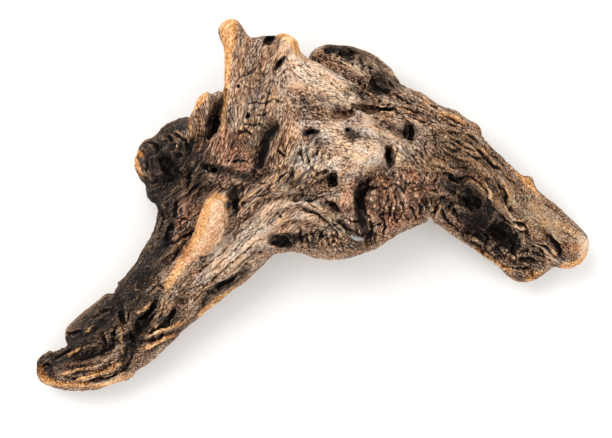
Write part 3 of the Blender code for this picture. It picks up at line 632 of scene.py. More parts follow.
# Grain lines drawn along the wood's fibres, each in the direction that the tree grew: x, y
GRAIN_LINES = {
    "arm_middle": ((36, 53), (88, 74), (136, 118), (180, 162), (216, 186), (276, 190)),
    "arm_low": ((60, 40), (120, 61), (172, 110), (212, 146), (240, 162)),
    "arm_back": ((48, 78), (88, 114), (120, 154), (140, 190), (160, 230), (172, 270), (182, 302),
                 (184, 330)),
    "shoulder_middle": ((204, 214), (208, 254), (214, 286), (220, 314)),
    "slope": ((234, 314), (242, 290), (272, 274), (312, 266), (344, 258), (384, 238), (432, 194),
              (468, 158)),
    "ridge_middle": ((290, 240), (312, 246), (344, 230), (376, 210), (408, 178), (448, 154)),
    "keel": ((346, 170), (376, 152), (424, 126)),
    "back_rib": ((258, 306), (296, 298), (328, 274), (360, 258), (384, 246)),
    "burl_one": ((300, 206), (302, 158)),
    "burl_two": ((320, 206), (316, 162)),
    "burl_three": ((336, 206), (342, 168)),
    "band_high": ((196, 181), (215, 190), (238, 192), (256, 189), (268, 180), (277, 169), (286, 158)),
    "band_low": ((205, 170), (222, 180), (240, 184), (255, 178), (263, 167), (268, 150)),
    "knob": ((152, 250), (128, 240), (112, 226), (112, 204)),
    "mound": ((232, 206), (240, 238)),
}

# Size of a cell of the sheet on which the grain is worked out, and the sheet, in millimetres
GRAIN_CELL = 2.5
GRAIN_SHEET = (-20, -20, 520, 380)
GRAIN_SOFTNESS = 6.0

# Colour zones, as broad strokes on the upper side: x, y, half width, strength
ZONES = {
    # Blackened wood, and painted shade in holes, slits, clefts and grooves
    "char": (
        ((108, 232, 12, 0.5), (128, 226, 30, 1.1), (150, 220, 26, 1.0), (160, 205, 16, 0.7)),
        ((132, 205, 22, 1.1), (134, 180, 18, 1.0), (124, 152, 22, 1.2), (108, 126, 20, 1.0),
         (90, 105, 22, 0.9), (62, 80, 22, 0.9), (38, 60, 14, 0.9)),
        ((112, 112, 18, 0.8), (114, 92, 16, 1.1), (104, 72, 14, 0.9), (100, 56, 8, 0.8)),
        ((132, 94, 10, 0.9), (142, 100, 8, 0.7), (150, 110, 6, 0.5)),
        ((152, 86, 5, 0.3), (168, 114, 7, 0.8), (184, 124, 7, 0.9), (198, 134, 6, 0.7)),
        ((168, 242, 7, 1.0), (174, 256, 8, 1.2), (181, 272, 7, 1.0)),
        ((352, 203, 8, 0.6), (366, 196, 14, 1.1), (380, 183, 17, 1.3), (396, 168, 17, 1.3),
         (410, 156, 13, 1.0)),
        ((352, 192, 7, 0.6), (368, 178, 8, 0.8), (388, 158, 8, 0.8)),
        ((416, 162, 6, 0.8), (412, 168, 5, 0.6)),
        ((264, 310, 10, 0.8), (280, 307, 12, 0.8), (300, 296, 14, 0.4), (304, 282, 15, 1.0),
         (320, 284, 10, 0.6)),
        ((286, 204, 6, 0.8), (286, 190, 7, 0.9), (290, 172, 6, 0.8), (296, 158, 4, 0.6)),
        ((218, 160, 8, 0.8), (230, 158, 10, 1.0), (242, 162, 8, 0.6)),
        ((203, 211, 5, 0.8), (206, 220, 5, 0.5)), ((283, 240, 10, 0.5), (277, 244, 6, 0.7)),
        # Painted shade in the saddle knot, the crest slit, the three-cornered hole, the side slit and the
        # groove's head
        ((214, 315, 4, 1.2), (217, 318, 4.5, 1.4)),
        ((221, 293, 2.2, 1.2), (224, 297, 2.8, 1.5), (227, 301, 2.2, 1.2)),
        ((264, 208, 3.5, 1.2), (267, 203, 3, 1.2)),
        ((308, 231, 3, 0.9), (310, 224, 3.4, 1.1), (311, 217, 3, 0.8)),
        ((218, 242, 5, 0.7), (222, 246, 4, 0.5)),
        ((30, 60, 12, 0.9), (38, 60, 10, 0.9), (46, 62, 10, 0.7)),
        ((84, 118, 22, 0.9), (100, 138, 22, 1.1), (114, 156, 22, 1.1), (122, 176, 20, 1.0),
         (118, 198, 18, 0.9)),
        ((150, 252, 14, 0.7), (132, 246, 14, 0.7), (112, 236, 8, 0.4)),
        ((244, 242, 6, 0.7), (252, 243, 6, 0.7)), ((322, 244, 10, 0.7), (330, 244, 6, 0.6)),
        ((60, 62, 5, 0.8), (70, 66, 6, 1.0), (84, 70, 6, 1.0), (92, 78, 8, 0.8)),
        ((56, 50, 2, 0.8), (66, 52, 2.5, 1.1), (76, 55, 2.5, 1.1), (88, 58, 2.5, 0.8)),
        ((62, 42, 1.8, 0.6), (76, 45, 2.2, 1.1), (88, 49, 3, 1.1), (98, 55, 3.5, 1.0)),
        ((164, 216, 9, 0.7), (184, 212, 7, 0.5), (200, 208, 8, 0.7)),
        ((182, 186, 7, 0.9), (190, 196, 9, 0.7)),
    ),
    "pale": (
        ((236, 300, 10, 0.7), (252, 288, 16, 1.1), (270, 276, 18, 1.0), (284, 262, 10, 0.6)),
        ((246, 246, 16, 0.5), (270, 240, 20, 0.8), (288, 232, 22, 1.1), (300, 226, 12, 0.7)),
        ((232, 222, 10, 0.5), (248, 222, 18, 0.9), (266, 218, 14, 0.6)),
        ((198, 166, 9, 0.7), (214, 180, 8, 0.8), (234, 189, 6, 0.7), (254, 188, 5, 0.5)),
        ((150, 112, 12, 0.3), (170, 136, 18, 0.4), (192, 154, 16, 0.5), (208, 168, 12, 0.6)),
        ((120, 62, 10, 0.5), (134, 76, 8, 0.5)), ((318, 228, 14, 0.5), (334, 236, 12, 0.3)),
        ((464, 163, 6, 0.7), (471, 153, 6, 1.1), (470, 145, 5, 0.9)),
    ),
    "amber": (
        ((184, 334, 12, 1.4), (184, 318, 10, 1.3), (183, 300, 6, 1.0), (182, 282, 5, 0.9),
         (181, 266, 4, 0.7), (178, 246, 5, 0.4)),
        ((224, 324, 8, 1.1), (234, 318, 9, 1.1), (238, 306, 6, 0.6)),
        ((162, 280, 9, 1.3), (160, 270, 9, 1.2), (154, 262, 5, 0.8)),
        ((180, 190, 5, 0.7), (174, 192, 6, 1.1), (167, 184, 7, 1.4), (163, 172, 7.5, 1.4),
         (159, 160, 7.5, 1.4), (152, 148, 7, 1.4), (143, 135, 6, 1.2), (135, 122, 5, 0.8)),
        ((29, 54, 5, 0.9), (33, 46, 5.5, 1.1), (44, 42, 4.5, 1.0), (60, 41, 3.5, 0.8), (74, 40, 3, 0.7),
         (88, 42, 4.5, 1.0), (104, 48, 3, 0.5)),
        ((106, 227, 4, 0.9), (108, 220, 3, 1.0), (113, 211, 3, 0.8)),
        ((108, 230, 4, 0.8), (114, 226, 3, 0.6)),
        ((472, 148, 4, 0.9), (466, 140, 5, 1.1), (452, 137, 4, 0.8)),
        ((446, 172, 5, 0.4), (462, 164, 6, 0.5)), ((458, 154, 8, 0.35), (464, 150, 8, 0.45)),
        ((424, 126, 4, 0.7), (434, 132, 4, 0.5)),
        ((112, 83, 2.5, 0.5), (128, 86, 2.5, 0.8), (146, 92, 2.5, 0.8)),
        ((160, 98, 4, 0.6), (180, 114, 4, 0.8), (192, 122, 4, 0.5)),
        ((82, 116, 4, 0.6), (76, 110, 4, 0.5)),
        ((50, 50, 2.5, 0.8), (58, 53, 2.5, 1.0), (67, 56, 2, 0.6)),
        ((58, 45, 2.5, 0.8), (70, 49, 2.8, 1.0), (80, 52, 2.8, 1.0), (90, 56, 2.5, 0.9),
         (98, 59, 2, 0.6)),
        ((54, 66, 3, 0.8), (60, 69, 3, 0.9), (64, 72, 2.5, 0.5)),
        ((66, 82, 2.5, 0.3), (70, 86, 3, 0.5), (75, 90, 2.5, 0.3)),
        ((112, 71, 2, 0.7), (121, 74, 2.3, 0.9), (130, 79, 2.3, 1.0), (139, 82, 2.3, 0.9)),
        ((96, 88, 2, 0.4), (98, 78, 2.5, 0.6), (98, 68, 2.5, 0.5)),
        ((112, 100, 3, 0.5), (121, 108, 3, 0.5)),
        ((152, 259, 3, 0.6), (154, 248, 2.5, 0.8), (155, 240, 2.5, 0.5)),
        ((380, 151, 3, 0.4), (395, 142, 3, 0.6), (410, 133, 3, 0.6)),
        ((414, 212, 5, 0.7), (421, 205, 6, 1.0), (428, 197, 5, 0.6)),
        ((350, 259, 4, 0.4), (362, 255, 4, 0.7), (370, 250, 3, 0.6)),
    ),
    "fresh": (
        ((177, 185, 8, 1.3), (177, 174, 10, 1.5), (173, 163, 10.5, 1.5), (167, 154, 9, 1.3),
         (156, 146, 7, 0.8), (147, 138, 6, 0.4)),
        ((96, 46, 6, 0.6), (106, 50, 4, 0.5)),
    ),
    "red": (
        ((292, 190, 18, 0.8), (308, 196, 20, 1.1), (326, 200, 20, 1.1), (346, 198, 16, 0.9),
         (362, 192, 10, 0.4)),
        ((308, 170, 16, 0.8), (322, 180, 16, 0.8), (336, 178, 14, 0.7)),
        ((176, 246, 14, 0.6), (186, 232, 18, 0.8), (192, 220, 16, 0.7), (160, 246, 10, 0.5)),
        ((148, 186, 14, 0.7), (142, 172, 14, 0.8), (138, 158, 8, 0.6)),
        ((282, 202, 10, 0.6), (276, 188, 10, 0.7), (280, 172, 10, 0.6)),
    ),
    "olive": (
        ((350, 240, 20, 0.6), (376, 224, 22, 0.9), (398, 202, 20, 1.1), (420, 182, 18, 1.1),
         (440, 166, 16, 0.9)),
        ((340, 216, 14, 0.5), (360, 220, 16, 0.8)),
    ),
    "cracked": (
        ((196, 310, 16, 0.2), (204, 290, 26, 0.45), (204, 264, 28, 0.5), (200, 236, 26, 0.55),
         (214, 222, 14, 0.4)),
        ((240, 222, 22, 0.6), (256, 208, 22, 0.8), (236, 200, 20, 0.9)),
        ((250, 262, 26, 0.5), (286, 270, 20, 0.5), (300, 286, 20, 0.8), (292, 300, 12, 0.8)),
        ((300, 196, 26, 1.15), (322, 190, 26, 1.1), (344, 196, 20, 0.9)),
        ((266, 176, 24, 0.6), (292, 164, 22, 0.8), (250, 160, 18, 0.7)),
        ((330, 228, 24, 0.6), (356, 232, 26, 0.45), (386, 206, 26, 0.3)),
        ((380, 166, 22, 0.9), (404, 152, 22, 1.0), (424, 142, 18, 1.0)),
        ((200, 178, 22, 0.5), (170, 150, 24, 0.3), (140, 110, 30, 0.4), (100, 90, 36, 0.6),
         (60, 66, 26, 0.6)),
        ((130, 216, 34, 0.6), (150, 190, 20, 0.5)),
    ),
    "worn": (
        ((190, 304, 26, 0.8), (205, 282, 32, 0.85), (212, 256, 30, 0.75), (190, 236, 20, 0.6)),
        ((326, 236, 24, 0.6), (360, 230, 28, 0.95), (395, 205, 26, 0.95), (432, 176, 24, 0.8)),
        ((304, 190, 24, 1.0), (334, 192, 22, 0.9)), ((66, 82, 18, 0.4), (90, 100, 18, 0.4)),
        ((130, 74, 8, 0.4), (150, 92, 7, 0.4)),
        ((250, 230, 26, 0.4), (284, 234, 28, 0.8), (274, 262, 24, 0.6)),
        ((286, 176, 18, 0.4), (250, 184, 24, 0.5), (214, 168, 20, 0.4), (176, 140, 22, 0.3)),
        ((184, 332, 14, 1.2), (184, 310, 10, 0.9), (183, 282, 6, 0.6)),
        ((228, 320, 12, 1.0), (238, 304, 10, 0.6)),
        ((172, 188, 14, 1.4), (168, 174, 15, 1.4), (160, 157, 13, 1.3), (146, 138, 10, 0.9)),
        ((252, 288, 16, 0.6), (286, 230, 20, 0.7)),
        ((174, 184, 11, 1.4), (170, 164, 13, 1.4), (162, 152, 11, 1.2)),
        ((466, 152, 14, 1.2), (446, 164, 14, 0.7), (424, 180, 12, 0.4)),
        ((38, 46, 12, 0.7), (160, 274, 10, 0.8)),
    ),
    "lint": (
        ((279, 162, 1.5, 0.5), (283, 160, 2.5, 1.3), (288, 159, 2.5, 1.3), (292, 160, 1.5, 0.4)),
    ),
}

# Broad strokes that make the wood's tone darker or lighter, partly the wood's own tone and partly painted
# shade in grooves and hollows and painted light on faces: x, y, half width, change of tone
PAINTED_LIGHT_AND_TONE = (
    ((236, 218, 12, 0.16), (250, 218, 15, 0.22), (266, 216, 12, 0.16)),
    ((238, 186, 9, -0.12), (226, 182, 9, -0.12)),
    ((246, 172, 12, 0.16), (262, 172, 12, 0.2), (274, 172, 10, 0.12)),
    ((300, 192, 18, 0.06), (326, 188, 18, 0.06)),
    ((350, 236, 16, -0.1), (374, 224, 16, -0.12), (392, 210, 10, -0.06)),
    ((412, 188, 12, 0.14), (440, 168, 13, 0.16)),
    ((372, 186, 10, -0.1), (384, 176, 12, -0.14), (402, 162, 11, -0.14), (410, 152, 6, -0.06)),
    ((397, 181, 3, 0.3), (394, 175, 3.4, 0.55), (390, 169, 3, 0.4)),
    ((371, 168, 3, 0.1), (378, 166, 3, 0.3), (385, 168, 3, 0.5), (390, 163, 3, 0.6), (391, 157, 3, 0.2)),
    ((393, 152, 3, 0.2), (399, 156, 3, 0.6), (404, 153, 3, 0.4)),
    ((340, 195, 3, 0.1), (350, 196, 3, 0.2), (359, 195, 3, 0.3), (365, 191, 3, 0.2)),
    ((352, 188, 3, 0.1), (356, 193, 3, 0.2), (362, 196, 3, 0.3), (370, 195, 3, 0.3)),
    ((413, 166, 3, 0.1), (418, 160, 3, 0.2), (418, 152, 3, 0.3)),
    ((377, 161, 3, 0.3), (382, 157, 3, 0.5), (388, 153, 3, 0.2)),
    ((384, 205, 3, 0.1), (389, 198, 3, 0.3), (391, 190, 3, 0.4)),
    ((404, 150, 4, 0.2), (410, 146, 5, 0.3), (420, 146, 5, 0.2)),
    ((224, 242, 10, -0.22), (226, 226, 11, -0.26), (214, 214, 7, -0.15)),
    ((248, 240, 9, -0.22), (257, 232, 9, -0.24)),
    ((274, 242, 8, -0.2), (284, 241, 9, -0.36), (292, 243, 6, -0.16)),
    ((226, 282, 8, 0.12), (238, 280, 11, 0.32), (250, 272, 8, 0.14)),
    ((284, 268, 8, 0.18), (296, 252, 9, 0.24)), ((288, 300, 9, 0.16), (300, 294, 9, 0.16)),
    ((308, 240, 8, 0.24), (300, 218, 9, 0.28), (292, 224, 8, 0.1)),
    ((224, 194, 9, 0.24), (238, 201, 8, 0.22), (246, 213, 9, 0.28)),
    ((264, 174, 9, 0.28), (276, 168, 9, 0.26)), ((208, 156, 7, 0.16), (218, 164, 8, 0.24)),
    ((166, 238, 8, -0.16), (170, 228, 9, -0.16), (196, 240, 6, -0.16)),
    ((190, 200, 7, -0.16), (200, 200, 6, -0.24)), ((272, 280, 7, -0.1), (281, 276, 8, -0.26)),
    ((256, 304, 7, -0.25), (266, 311, 7, -0.25)), ((328, 258, 8, -0.14), (346, 256, 7, -0.14)),
    ((326, 238, 6, -0.1), (334, 238, 5, -0.1)),
    ((352, 224, 10, -0.14), (376, 211, 9, -0.26), (394, 197, 7, -0.22), (408, 180, 6, -0.18)),
    ((404, 136, 5, -0.15), (418, 128, 6, -0.25), (430, 130, 5, -0.15)),
    ((136, 146, 7, -0.1), (146, 162, 7, -0.16), (152, 178, 6, -0.12)),
    ((158, 142, 5, -0.2), (166, 146, 4, -0.1)), ((172, 158, 9, -0.1), (166, 150, 8, -0.12)),
    ((170, 134, 9, 0.12), (196, 160, 12, 0.14), (208, 172, 9, 0.08)),
    ((232, 316, 6, 0.25), (228, 310, 6, 0.2)), ((186, 246, 6, -0.12), (182, 262, 5, -0.2)),
    ((108, 116, 11, -0.12), (122, 130, 10, -0.14)),
    ((118, 64, 8, -0.1), (134, 76, 7, -0.12), (148, 92, 7, -0.16)),
    ((40, 64, 7, -0.12), (56, 78, 7, -0.15), (48, 58, 7, -0.1), (72, 58, 8, -0.1)),
    ((170, 120, 6, 0.08), (188, 132, 7, 0.12), (200, 144, 6, 0.1)),
    ((285, 298, 12, 0.22), (298, 292, 12, 0.26), (312, 284, 10, 0.2)),
    ((150, 242, 10, 0.12), (142, 238, 8, 0.1)),
    ((330, 264, 10, -0.12), (356, 254, 8, -0.12), (376, 246, 5, -0.15)),
    ((134, 222, 12, -0.2), (140, 212, 10, -0.25)), ((136, 244, 10, -0.15), (154, 242, 9, -0.15)),
    ((62, 78, 14, -0.02), (84, 92, 18, 0.04), (104, 110, 14, -0.04)),
    ((112, 96, 12, 0.08), (100, 80, 10, 0.08)),
    ((84, 122, 8, -0.15), (104, 148, 8, -0.2), (118, 172, 8, -0.2), (120, 196, 7, -0.15),
     (110, 214, 5, -0.1)),
    ((28, 54, 9, -0.55), (38, 50, 9, -0.45), (52, 46, 6, -0.3), (72, 42, 5, -0.1)),
    ((66, 44, 7, 0.15), (84, 44, 7, 0.25)),
    ((104, 54, 7, -0.1), (118, 66, 8, -0.2), (134, 80, 8, -0.2), (150, 94, 6, -0.15)),
    ((162, 262, 8, -0.12), (160, 244, 7, -0.16), (158, 228, 8, -0.18)),
    ((196, 158, 12, 0.06), (208, 170, 10, 0.04)),
    ((352, 178, 7, -0.06), (374, 160, 7, -0.08), (396, 146, 7, -0.08)),
    ((224, 250, 7, -0.1), (217, 244, 8, -0.35), (212, 233, 7, -0.4), (208, 221, 7, -0.32),
     (205, 212, 6, -0.2)),
    ((296, 243, 7, 0.28), (302, 238, 5, 0.1)), ((270, 171, 8, 0.3), (276, 164, 5, 0.1)),
    ((216, 164, 6, 0.25), (226, 172, 5, 0.1)), ((182, 160, 6, 0.3), (177, 150, 6, 0.2)),
    ((234, 197, 7, 0.15), (240, 206, 6, 0.12)), ((300, 282, 9, 0.14), (316, 284, 7, 0.12)),
    ((298, 270, 6, 0.12), (262, 160, 6, 0.12)), ((203, 236, 5, 0.15), (202, 226, 5, 0.12)),
    ((128, 118, 10, -0.18), (122, 128, 8, -0.1)),
    ((150, 166, 6, -0.14), (140, 150, 7, -0.14), (136, 140, 6, -0.1)),
    ((242, 248, 6, -0.14), (246, 236, 5, -0.12)), ((262, 222, 6, -0.2), (257, 228, 5, -0.1)),
    ((278, 241, 7, -0.22), (284, 236, 5, -0.1)), ((304, 256, 6, -0.14), (312, 246, 6, -0.14)),
    ((309, 228, 4, -0.15), (310, 219, 4, -0.15)), ((226, 158, 9, -0.25), (238, 160, 6, -0.15)),
    ((424, 184, 7, 0.12), (436, 173, 8, 0.16), (448, 164, 7, 0.1)),
    ((355, 208, 8, -0.14), (386, 204, 7, -0.12)), ((410, 190, 6, -0.14), (418, 168, 6, -0.16)),
    ((176, 212, 8, -0.2), (166, 226, 7, -0.16)), ((196, 200, 6, -0.14), (456, 152, 6, -0.14)),
    ((448, 152, 7, -0.35), (454, 148, 8, -0.4), (460, 146, 6, -0.25)),
    ((470, 158, 5, 0.15), (472, 150, 5, 0.2)), ((456, 156, 8, -0.2), (464, 154, 7, -0.15)),
    ((436, 174, 8, -0.06), (444, 166, 7, -0.06)), ((213, 315, 4.5, -0.4), (218, 318, 4.5, -0.5)),
    ((220, 292, 2.5, -0.5), (224, 297, 3, -0.6), (228, 302, 2.5, -0.4)),
    ((186, 198, 7, -0.2), (188, 188, 5, -0.2)),
    ((188, 178, 5, 0.15), (185, 166, 6, 0.4), (180, 154, 7, 0.45), (172, 143, 6, 0.25)),
    ((160, 132, 8, 0.12), (144, 132, 7, 0.18), (136, 122, 6, 0.15)),
    ((208, 182, 6, -0.1), (220, 196, 6, -0.15)), ((270, 170, 8, 0.25), (262, 160, 6, 0.12)),
    ((216, 161, 6, 0.2), (204, 152, 6, 0.15)), ((230, 195, 7, 0.25), (222, 192, 4, 0.1)),
    ((241, 224, 7, 0.2), (246, 211, 7, 0.18), (257, 208, 7, 0.16)),
    ((282, 213, 7, 0.18), (300, 214, 7, 0.18), (274, 222, 6, 0.16)),
    ((294, 250, 7, 0.18), (310, 237, 7, 0.16), (324, 228, 8, 0.2), (334, 224, 7, 0.14)),
    ((294, 268, 7, 0.16), (270, 263, 8, 0.14), (250, 262, 8, 0.16)),
    ((312, 285, 8, 0.16), (297, 298, 8, 0.16)), ((224, 308, 5, 0.25), (238, 277, 7, 0.16)),
    ((183, 241, 5, 0.18), (200, 266, 8, 0.12)), ((122, 231, 8, 0.2), (112, 231, 5, 0.2)),
    ((100, 73, 7, 0.35), (86, 78, 6, 0.16), (110, 94, 7, 0.2)),
    ((124, 80, 5, 0.2), (134, 97, 6, 0.2), (160, 110, 7, 0.2)), ((46, 48, 6, 0.2), (56, 46, 5, 0.1)),
    ((466, 145, 6, 0.2), (438, 155, 7, 0.1)), ((399, 204, 5, 0.2), (366, 226, 7, 0.14)),
    ((120, 126, 9, -0.2), (108, 130, 9, -0.16)), ((150, 166, 6, -0.2), (150, 146, 6, -0.2)),
    ((148, 195, 8, -0.2), (196, 201, 7, -0.16)),
    ((212, 214, 6, -0.15), (214, 228, 6, -0.2), (218, 238, 6, -0.16)),
    ((192, 241, 6, -0.16), (222, 201, 6, -0.12)), ((248, 246, 7, -0.16), (262, 226, 7, -0.22)),
    ((282, 237, 7, -0.22), (331, 236, 5, -0.16)), ((280, 276, 6, -0.22), (302, 273, 5, -0.16)),
    ((256, 302, 6, -0.16), (268, 306, 6, -0.16), (284, 298, 6, -0.16)),
    ((240, 170, 6, -0.16), (254, 172, 6, -0.14)), ((280, 190, 5, -0.16), (297, 186, 4, -0.16)),
    ((40, 58, 6, -0.12), (72, 60, 7, -0.14), (97, 87, 5, -0.14)),
    ((158, 121, 5, -0.14), (180, 142, 5, -0.12), (140, 92, 5, -0.14)),
    ((340, 213, 8, -0.14), (350, 225, 8, -0.14), (378, 205, 8, -0.2), (391, 197, 7, -0.16)),
    ((320, 258, 8, -0.12), (340, 254, 8, -0.14)),
    ((178, 266, 4, -0.16), (160, 236, 6, -0.14), (140, 232, 6, -0.16)),
    ((418, 128, 6, -0.2), (430, 129, 5, -0.2)), ((270, 148, 6, -0.14), (315, 163, 7, -0.14)),
    ((446, 146, 5, -0.16), (382, 246, 5, -0.2)),
    ((272, 262, 6, -0.1), (290, 263, 8, -0.3), (306, 261, 6, -0.25)),
)

# Kinds of node that come up often, a range that eases in and out, a sum kept between 0 and 1, and the
# inputs and output of a mix that hold colours
MATH = "ShaderNodeMath"
VECTOR_MATH = "ShaderNodeVectorMath"
RANGE = "ShaderNodeMapRange"
EASED = {"interpolation_type": "SMOOTHSTEP"}
CLAMPED_SUM = {"operation": "MULTIPLY_ADD", "use_clamp": True}
MIX = "ShaderNodeMix"
COLOUR_MIX = {"data_type": "RGBA"}
UNDER, OVER, MIXED = 6, 7, 2

# Middles of a noise and of the folds that are made from it, and how much taller the folds are
NOISE_MIDDLE = 0.5
FOLD_MIDDLE = 0.6
FOLD_GAIN = 4.5

# Size and reach in metres of the grain's wandering, and lengths of strands and fibres over their width
GRAIN_WANDER = (26 * MM, 7 * MM)
STRAND_LENGTH = 15
FIBRE_LENGTH = 12

# Passes of blurring that find the near and the far hollows, and what a metre of each adds to the tone,
# as painted shade in hollows and painted light on standing parts
HOLLOW_SHADING = {"cavity": (5, 230.0), "dip": (60, 50.0)}

# Values stored on the skin that the colours read, next to the grain coordinates
MARKS = (*ZONES, "fissure", "shade", *HOLLOW_SHADING)

# How shiny dry open wood is
WOOD_IOR = 1.45
WOOD_SPECULAR = 0.2

# Middle of the wood's tone, and the tones at which each wood is deepest, dim, itself and lightest
TONE_MIDDLE = 0.61
RAMP_TONES = (0.0, 0.27, 0.55, 0.95)

# Factors that turn wood towards rust brown and bluish grey
RUST_TINT = (1.12, 0.93, 0.76)
GREY_TINT = (0.95, 0.98, 1.01)

# Colours inside drying cracks, of the painted shade inside drawn splits, and of a wisp of lint
CRACK_COLOUR = "#160e0a"
SPLIT_SHADE_COLOUR = "#120c09"
LINT_COLOUR = "#b9c3c6"

# Deepest, dim and lightest tone of each wood; the middle tone is a setting
WOOD_TONES = {
    "wood": ("#140f0d", "#47362c", "#cdb49c"),
    "pale": ("#33241a", "#806c5c", "#f0ddca"),
    "amber": ("#3e2410", "#955e33", "#f4c793"),
    "fresh": ("#84502d", "#ae754a", "#f2d2ac"),
    "red": ("#150b08", "#48322a", "#dcb69c"),
    "olive": ("#1a120c", "#4a3829", "#b79e80"),
    "char": ("#060504", "#161311", "#6e5a4b"),
}


def linear(hex_colour):
    """The linear colour of an sRGB hex value."""
    parts = [int(hex_colour[i : i + 2], 16) / 255 for i in (1, 3, 5)]
    return tuple(c / 12.92 if c <= 0.04045 else ((c + 0.055) / 1.055) ** 2.4 for c in parts)


class DriftwoodSkinSettings(PropertyGroup):
    """Sizes of the wood's skin, grain and cracks."""

    skin_step: FloatProperty(
        name="Skin Step", description="Spacing of the fine skin before it is thinned",
        default=0.88 * MM, min=0.5 * MM, unit="LENGTH",
    )
    most_triangles: IntProperty(
        name="Most Triangles", description="Triangles that the finished skin may have", default=196000,
    )
    strand_width: FloatProperty(
        name="Strand Width", description="Spacing of the raised strands of grain",
        default=5.0 * MM, unit="LENGTH",
    )
    strand_height: FloatProperty(
        name="Strand Height", description="How far the strands stand out", default=0.9 * MM, unit="LENGTH",
    )
    fibre_width: FloatProperty(
        name="Fibre Width", description="Spacing of the fibres within a strand",
        default=1.9 * MM, unit="LENGTH",
    )
    fibre_height: FloatProperty(
        name="Fibre Height", description="How far the fibres stand out", default=0.42 * MM, unit="LENGTH",
    )
    crack_spacing: FloatProperty(
        name="Crack Spacing", description="Spacing of the drying cracks across the grain",
        default=8.5 * MM, unit="LENGTH",
    )
    crack_depth: FloatProperty(
        name="Crack Depth", description="Depth of the drying cracks", default=1.5 * MM, unit="LENGTH",
    )
    knob_height: FloatProperty(
        name="Knob Height", description="Height of the small uneven knobs", default=2.2 * MM, unit="LENGTH",
    )
    splinter_height: FloatProperty(
        name="Splinter Height", description="Height of the splinters where the wood is black",
        default=1.2 * MM, unit="LENGTH",
    )


class DriftwoodColourSettings(PropertyGroup):
    """Colours of the weathered wood, in its lighter or middle tones."""

    wood: FloatVectorProperty(
        name="Weathered Wood", description="Bare weathered root wood", subtype="COLOR", size=3,
        default=linear("#846a58"),
    )
    pale: FloatVectorProperty(
        name="Bleached Wood", description="Wood bleached by sun and water", subtype="COLOR", size=3,
        default=linear("#c2ac96"),
    )
    amber: FloatVectorProperty(
        name="Worn Wood", description="Fresh orange wood where the ends are rubbed",
        subtype="COLOR", size=3, default=linear("#c78a50"),
    )
    fresh: FloatVectorProperty(
        name="Fresh Wood", description="Pale orange wood of the smooth stub", subtype="COLOR", size=3,
        default=linear("#cc9a76"),
    )
    red: FloatVectorProperty(
        name="Burl Wood", description="Reddish wood of the burl", subtype="COLOR", size=3,
        default=linear("#966c55"),
    )
    olive: FloatVectorProperty(
        name="Ridge Wood", description="Olive brown wood of the right ridge", subtype="COLOR", size=3,
        default=linear("#7d644e"),
    )
    # Also used as painted shade in holes, slits and clefts
    char: FloatVectorProperty(
        name="Blackened Wood", description="Wood blackened in hollows and old wounds",
        subtype="COLOR", size=3, default=linear("#2c2520"),
    )


class DriftwoodStageSettings(PropertyGroup):
    """Floor, camera and lights."""

    camera_height: FloatProperty(
        name="Camera Height", description="Height of the camera over the floor", default=1.5, unit="LENGTH",
    )
    floor_colour: FloatVectorProperty(
        name="Floor", description="Colour of the plain floor", subtype="COLOR", size=3,
        default=linear("#f7f6f4"),
    )
    key_power: FloatProperty(
        name="Key Power", description="Power of the soft key light", default=18.0, unit="POWER",
    )
    fill_power: FloatProperty(
        name="Fill Power", description="Power of the wide fill light", default=9.0, unit="POWER",
    )


def catmull(p0, p1, p2, p3, t):
    """A point on the smooth curve through p1 and p2."""
    return 0.5 * (
        2 * p1
        + (p2 - p0) * t
        + (2 * p0 - 5 * p1 + 4 * p2 - p3) * t * t
        + (3 * p1 - p0 - 3 * p2 + p3) * t**3
    )


def smooth_stations(stations, step):
    """The stations with more in between, on one smooth curve."""
    rows = np.array(stations, float)
    rows = np.vstack([2 * rows[0] - rows[1], rows, 2 * rows[-1] - rows[-2]])
    found = []
    for i in range(1, len(rows) - 2):
        count = max(1, round(np.linalg.norm(rows[i + 1, :2] - rows[i, :2]) / step))
        for k in range(count):
            found.append(catmull(*rows[i - 1 : i + 3], k / count))
    found.append(rows[-2])
    return np.array(found)


def loft_limb(mesh, stations):
    """Adds a closed round limb whose section changes from station to station."""
    rows = smooth_stations(stations, LOFT_STEP)
    rings = []
    for i, row in enumerate(rows):
        along = rows[min(i + 1, len(rows) - 1)][:3] - rows[max(i - 1, 0)][:3]
        rings.append((row[:3], Vector(along).normalized(), row[3], row[4]))
    for end, sign in ((0, -1), (-1, 1)):
        middle, along, wide, deep = rings[end]
        reach = min(wide, deep)
        for turn in CAP_TURNS:
            lift = math.sin(math.radians(turn))
            shrink = math.cos(math.radians(turn))
            ring = (middle + np.array(along) * sign * reach * lift, along, wide * shrink, deep * shrink)
            rings = [ring] + rings if end == 0 else rings + [ring]
    rows_of_points = []
    for middle, along, wide, deep in rings:
        side = along.cross(Vector((0, 0, 1))).normalized()
        up = side.cross(along)
        points = []
        for k in range(RING_SIDES):
            turn = math.tau * k / RING_SIDES
            place = Vector(middle) + side * wide * math.cos(turn) + up * deep * math.sin(turn)
            points.append(mesh.verts.new(place * MM))
        rows_of_points.append(points)
    for lower, upper in zip(rows_of_points, rows_of_points[1:]):
        for k in range(RING_SIDES):
            after = (k + 1) % RING_SIDES
            mesh.faces.new((lower[k], lower[after], upper[after], upper[k]))
    mesh.faces.new(rows_of_points[0][::-1])
    mesh.faces.new(rows_of_points[-1])


def add_ball(mesh, x, y, z, wide, long, high):
    """Adds a squashed ball."""
    made = bmesh.ops.create_uvsphere(mesh, u_segments=BALL_SIDES, v_segments=BALL_RINGS, radius=1)
    for vert in made["verts"]:
        vert.co = Vector((x + vert.co.x * wide, y + vert.co.y * long, z + vert.co.z * high)) * MM


def object_from(mesh, name, collection):
    """Turns a bmesh into an object of one collection."""
    data = bpy.data.meshes.new(name)
    mesh.to_mesh(data)
    mesh.free()
    made = bpy.data.objects.new(name, data)
    collection.objects.link(made)
    return made


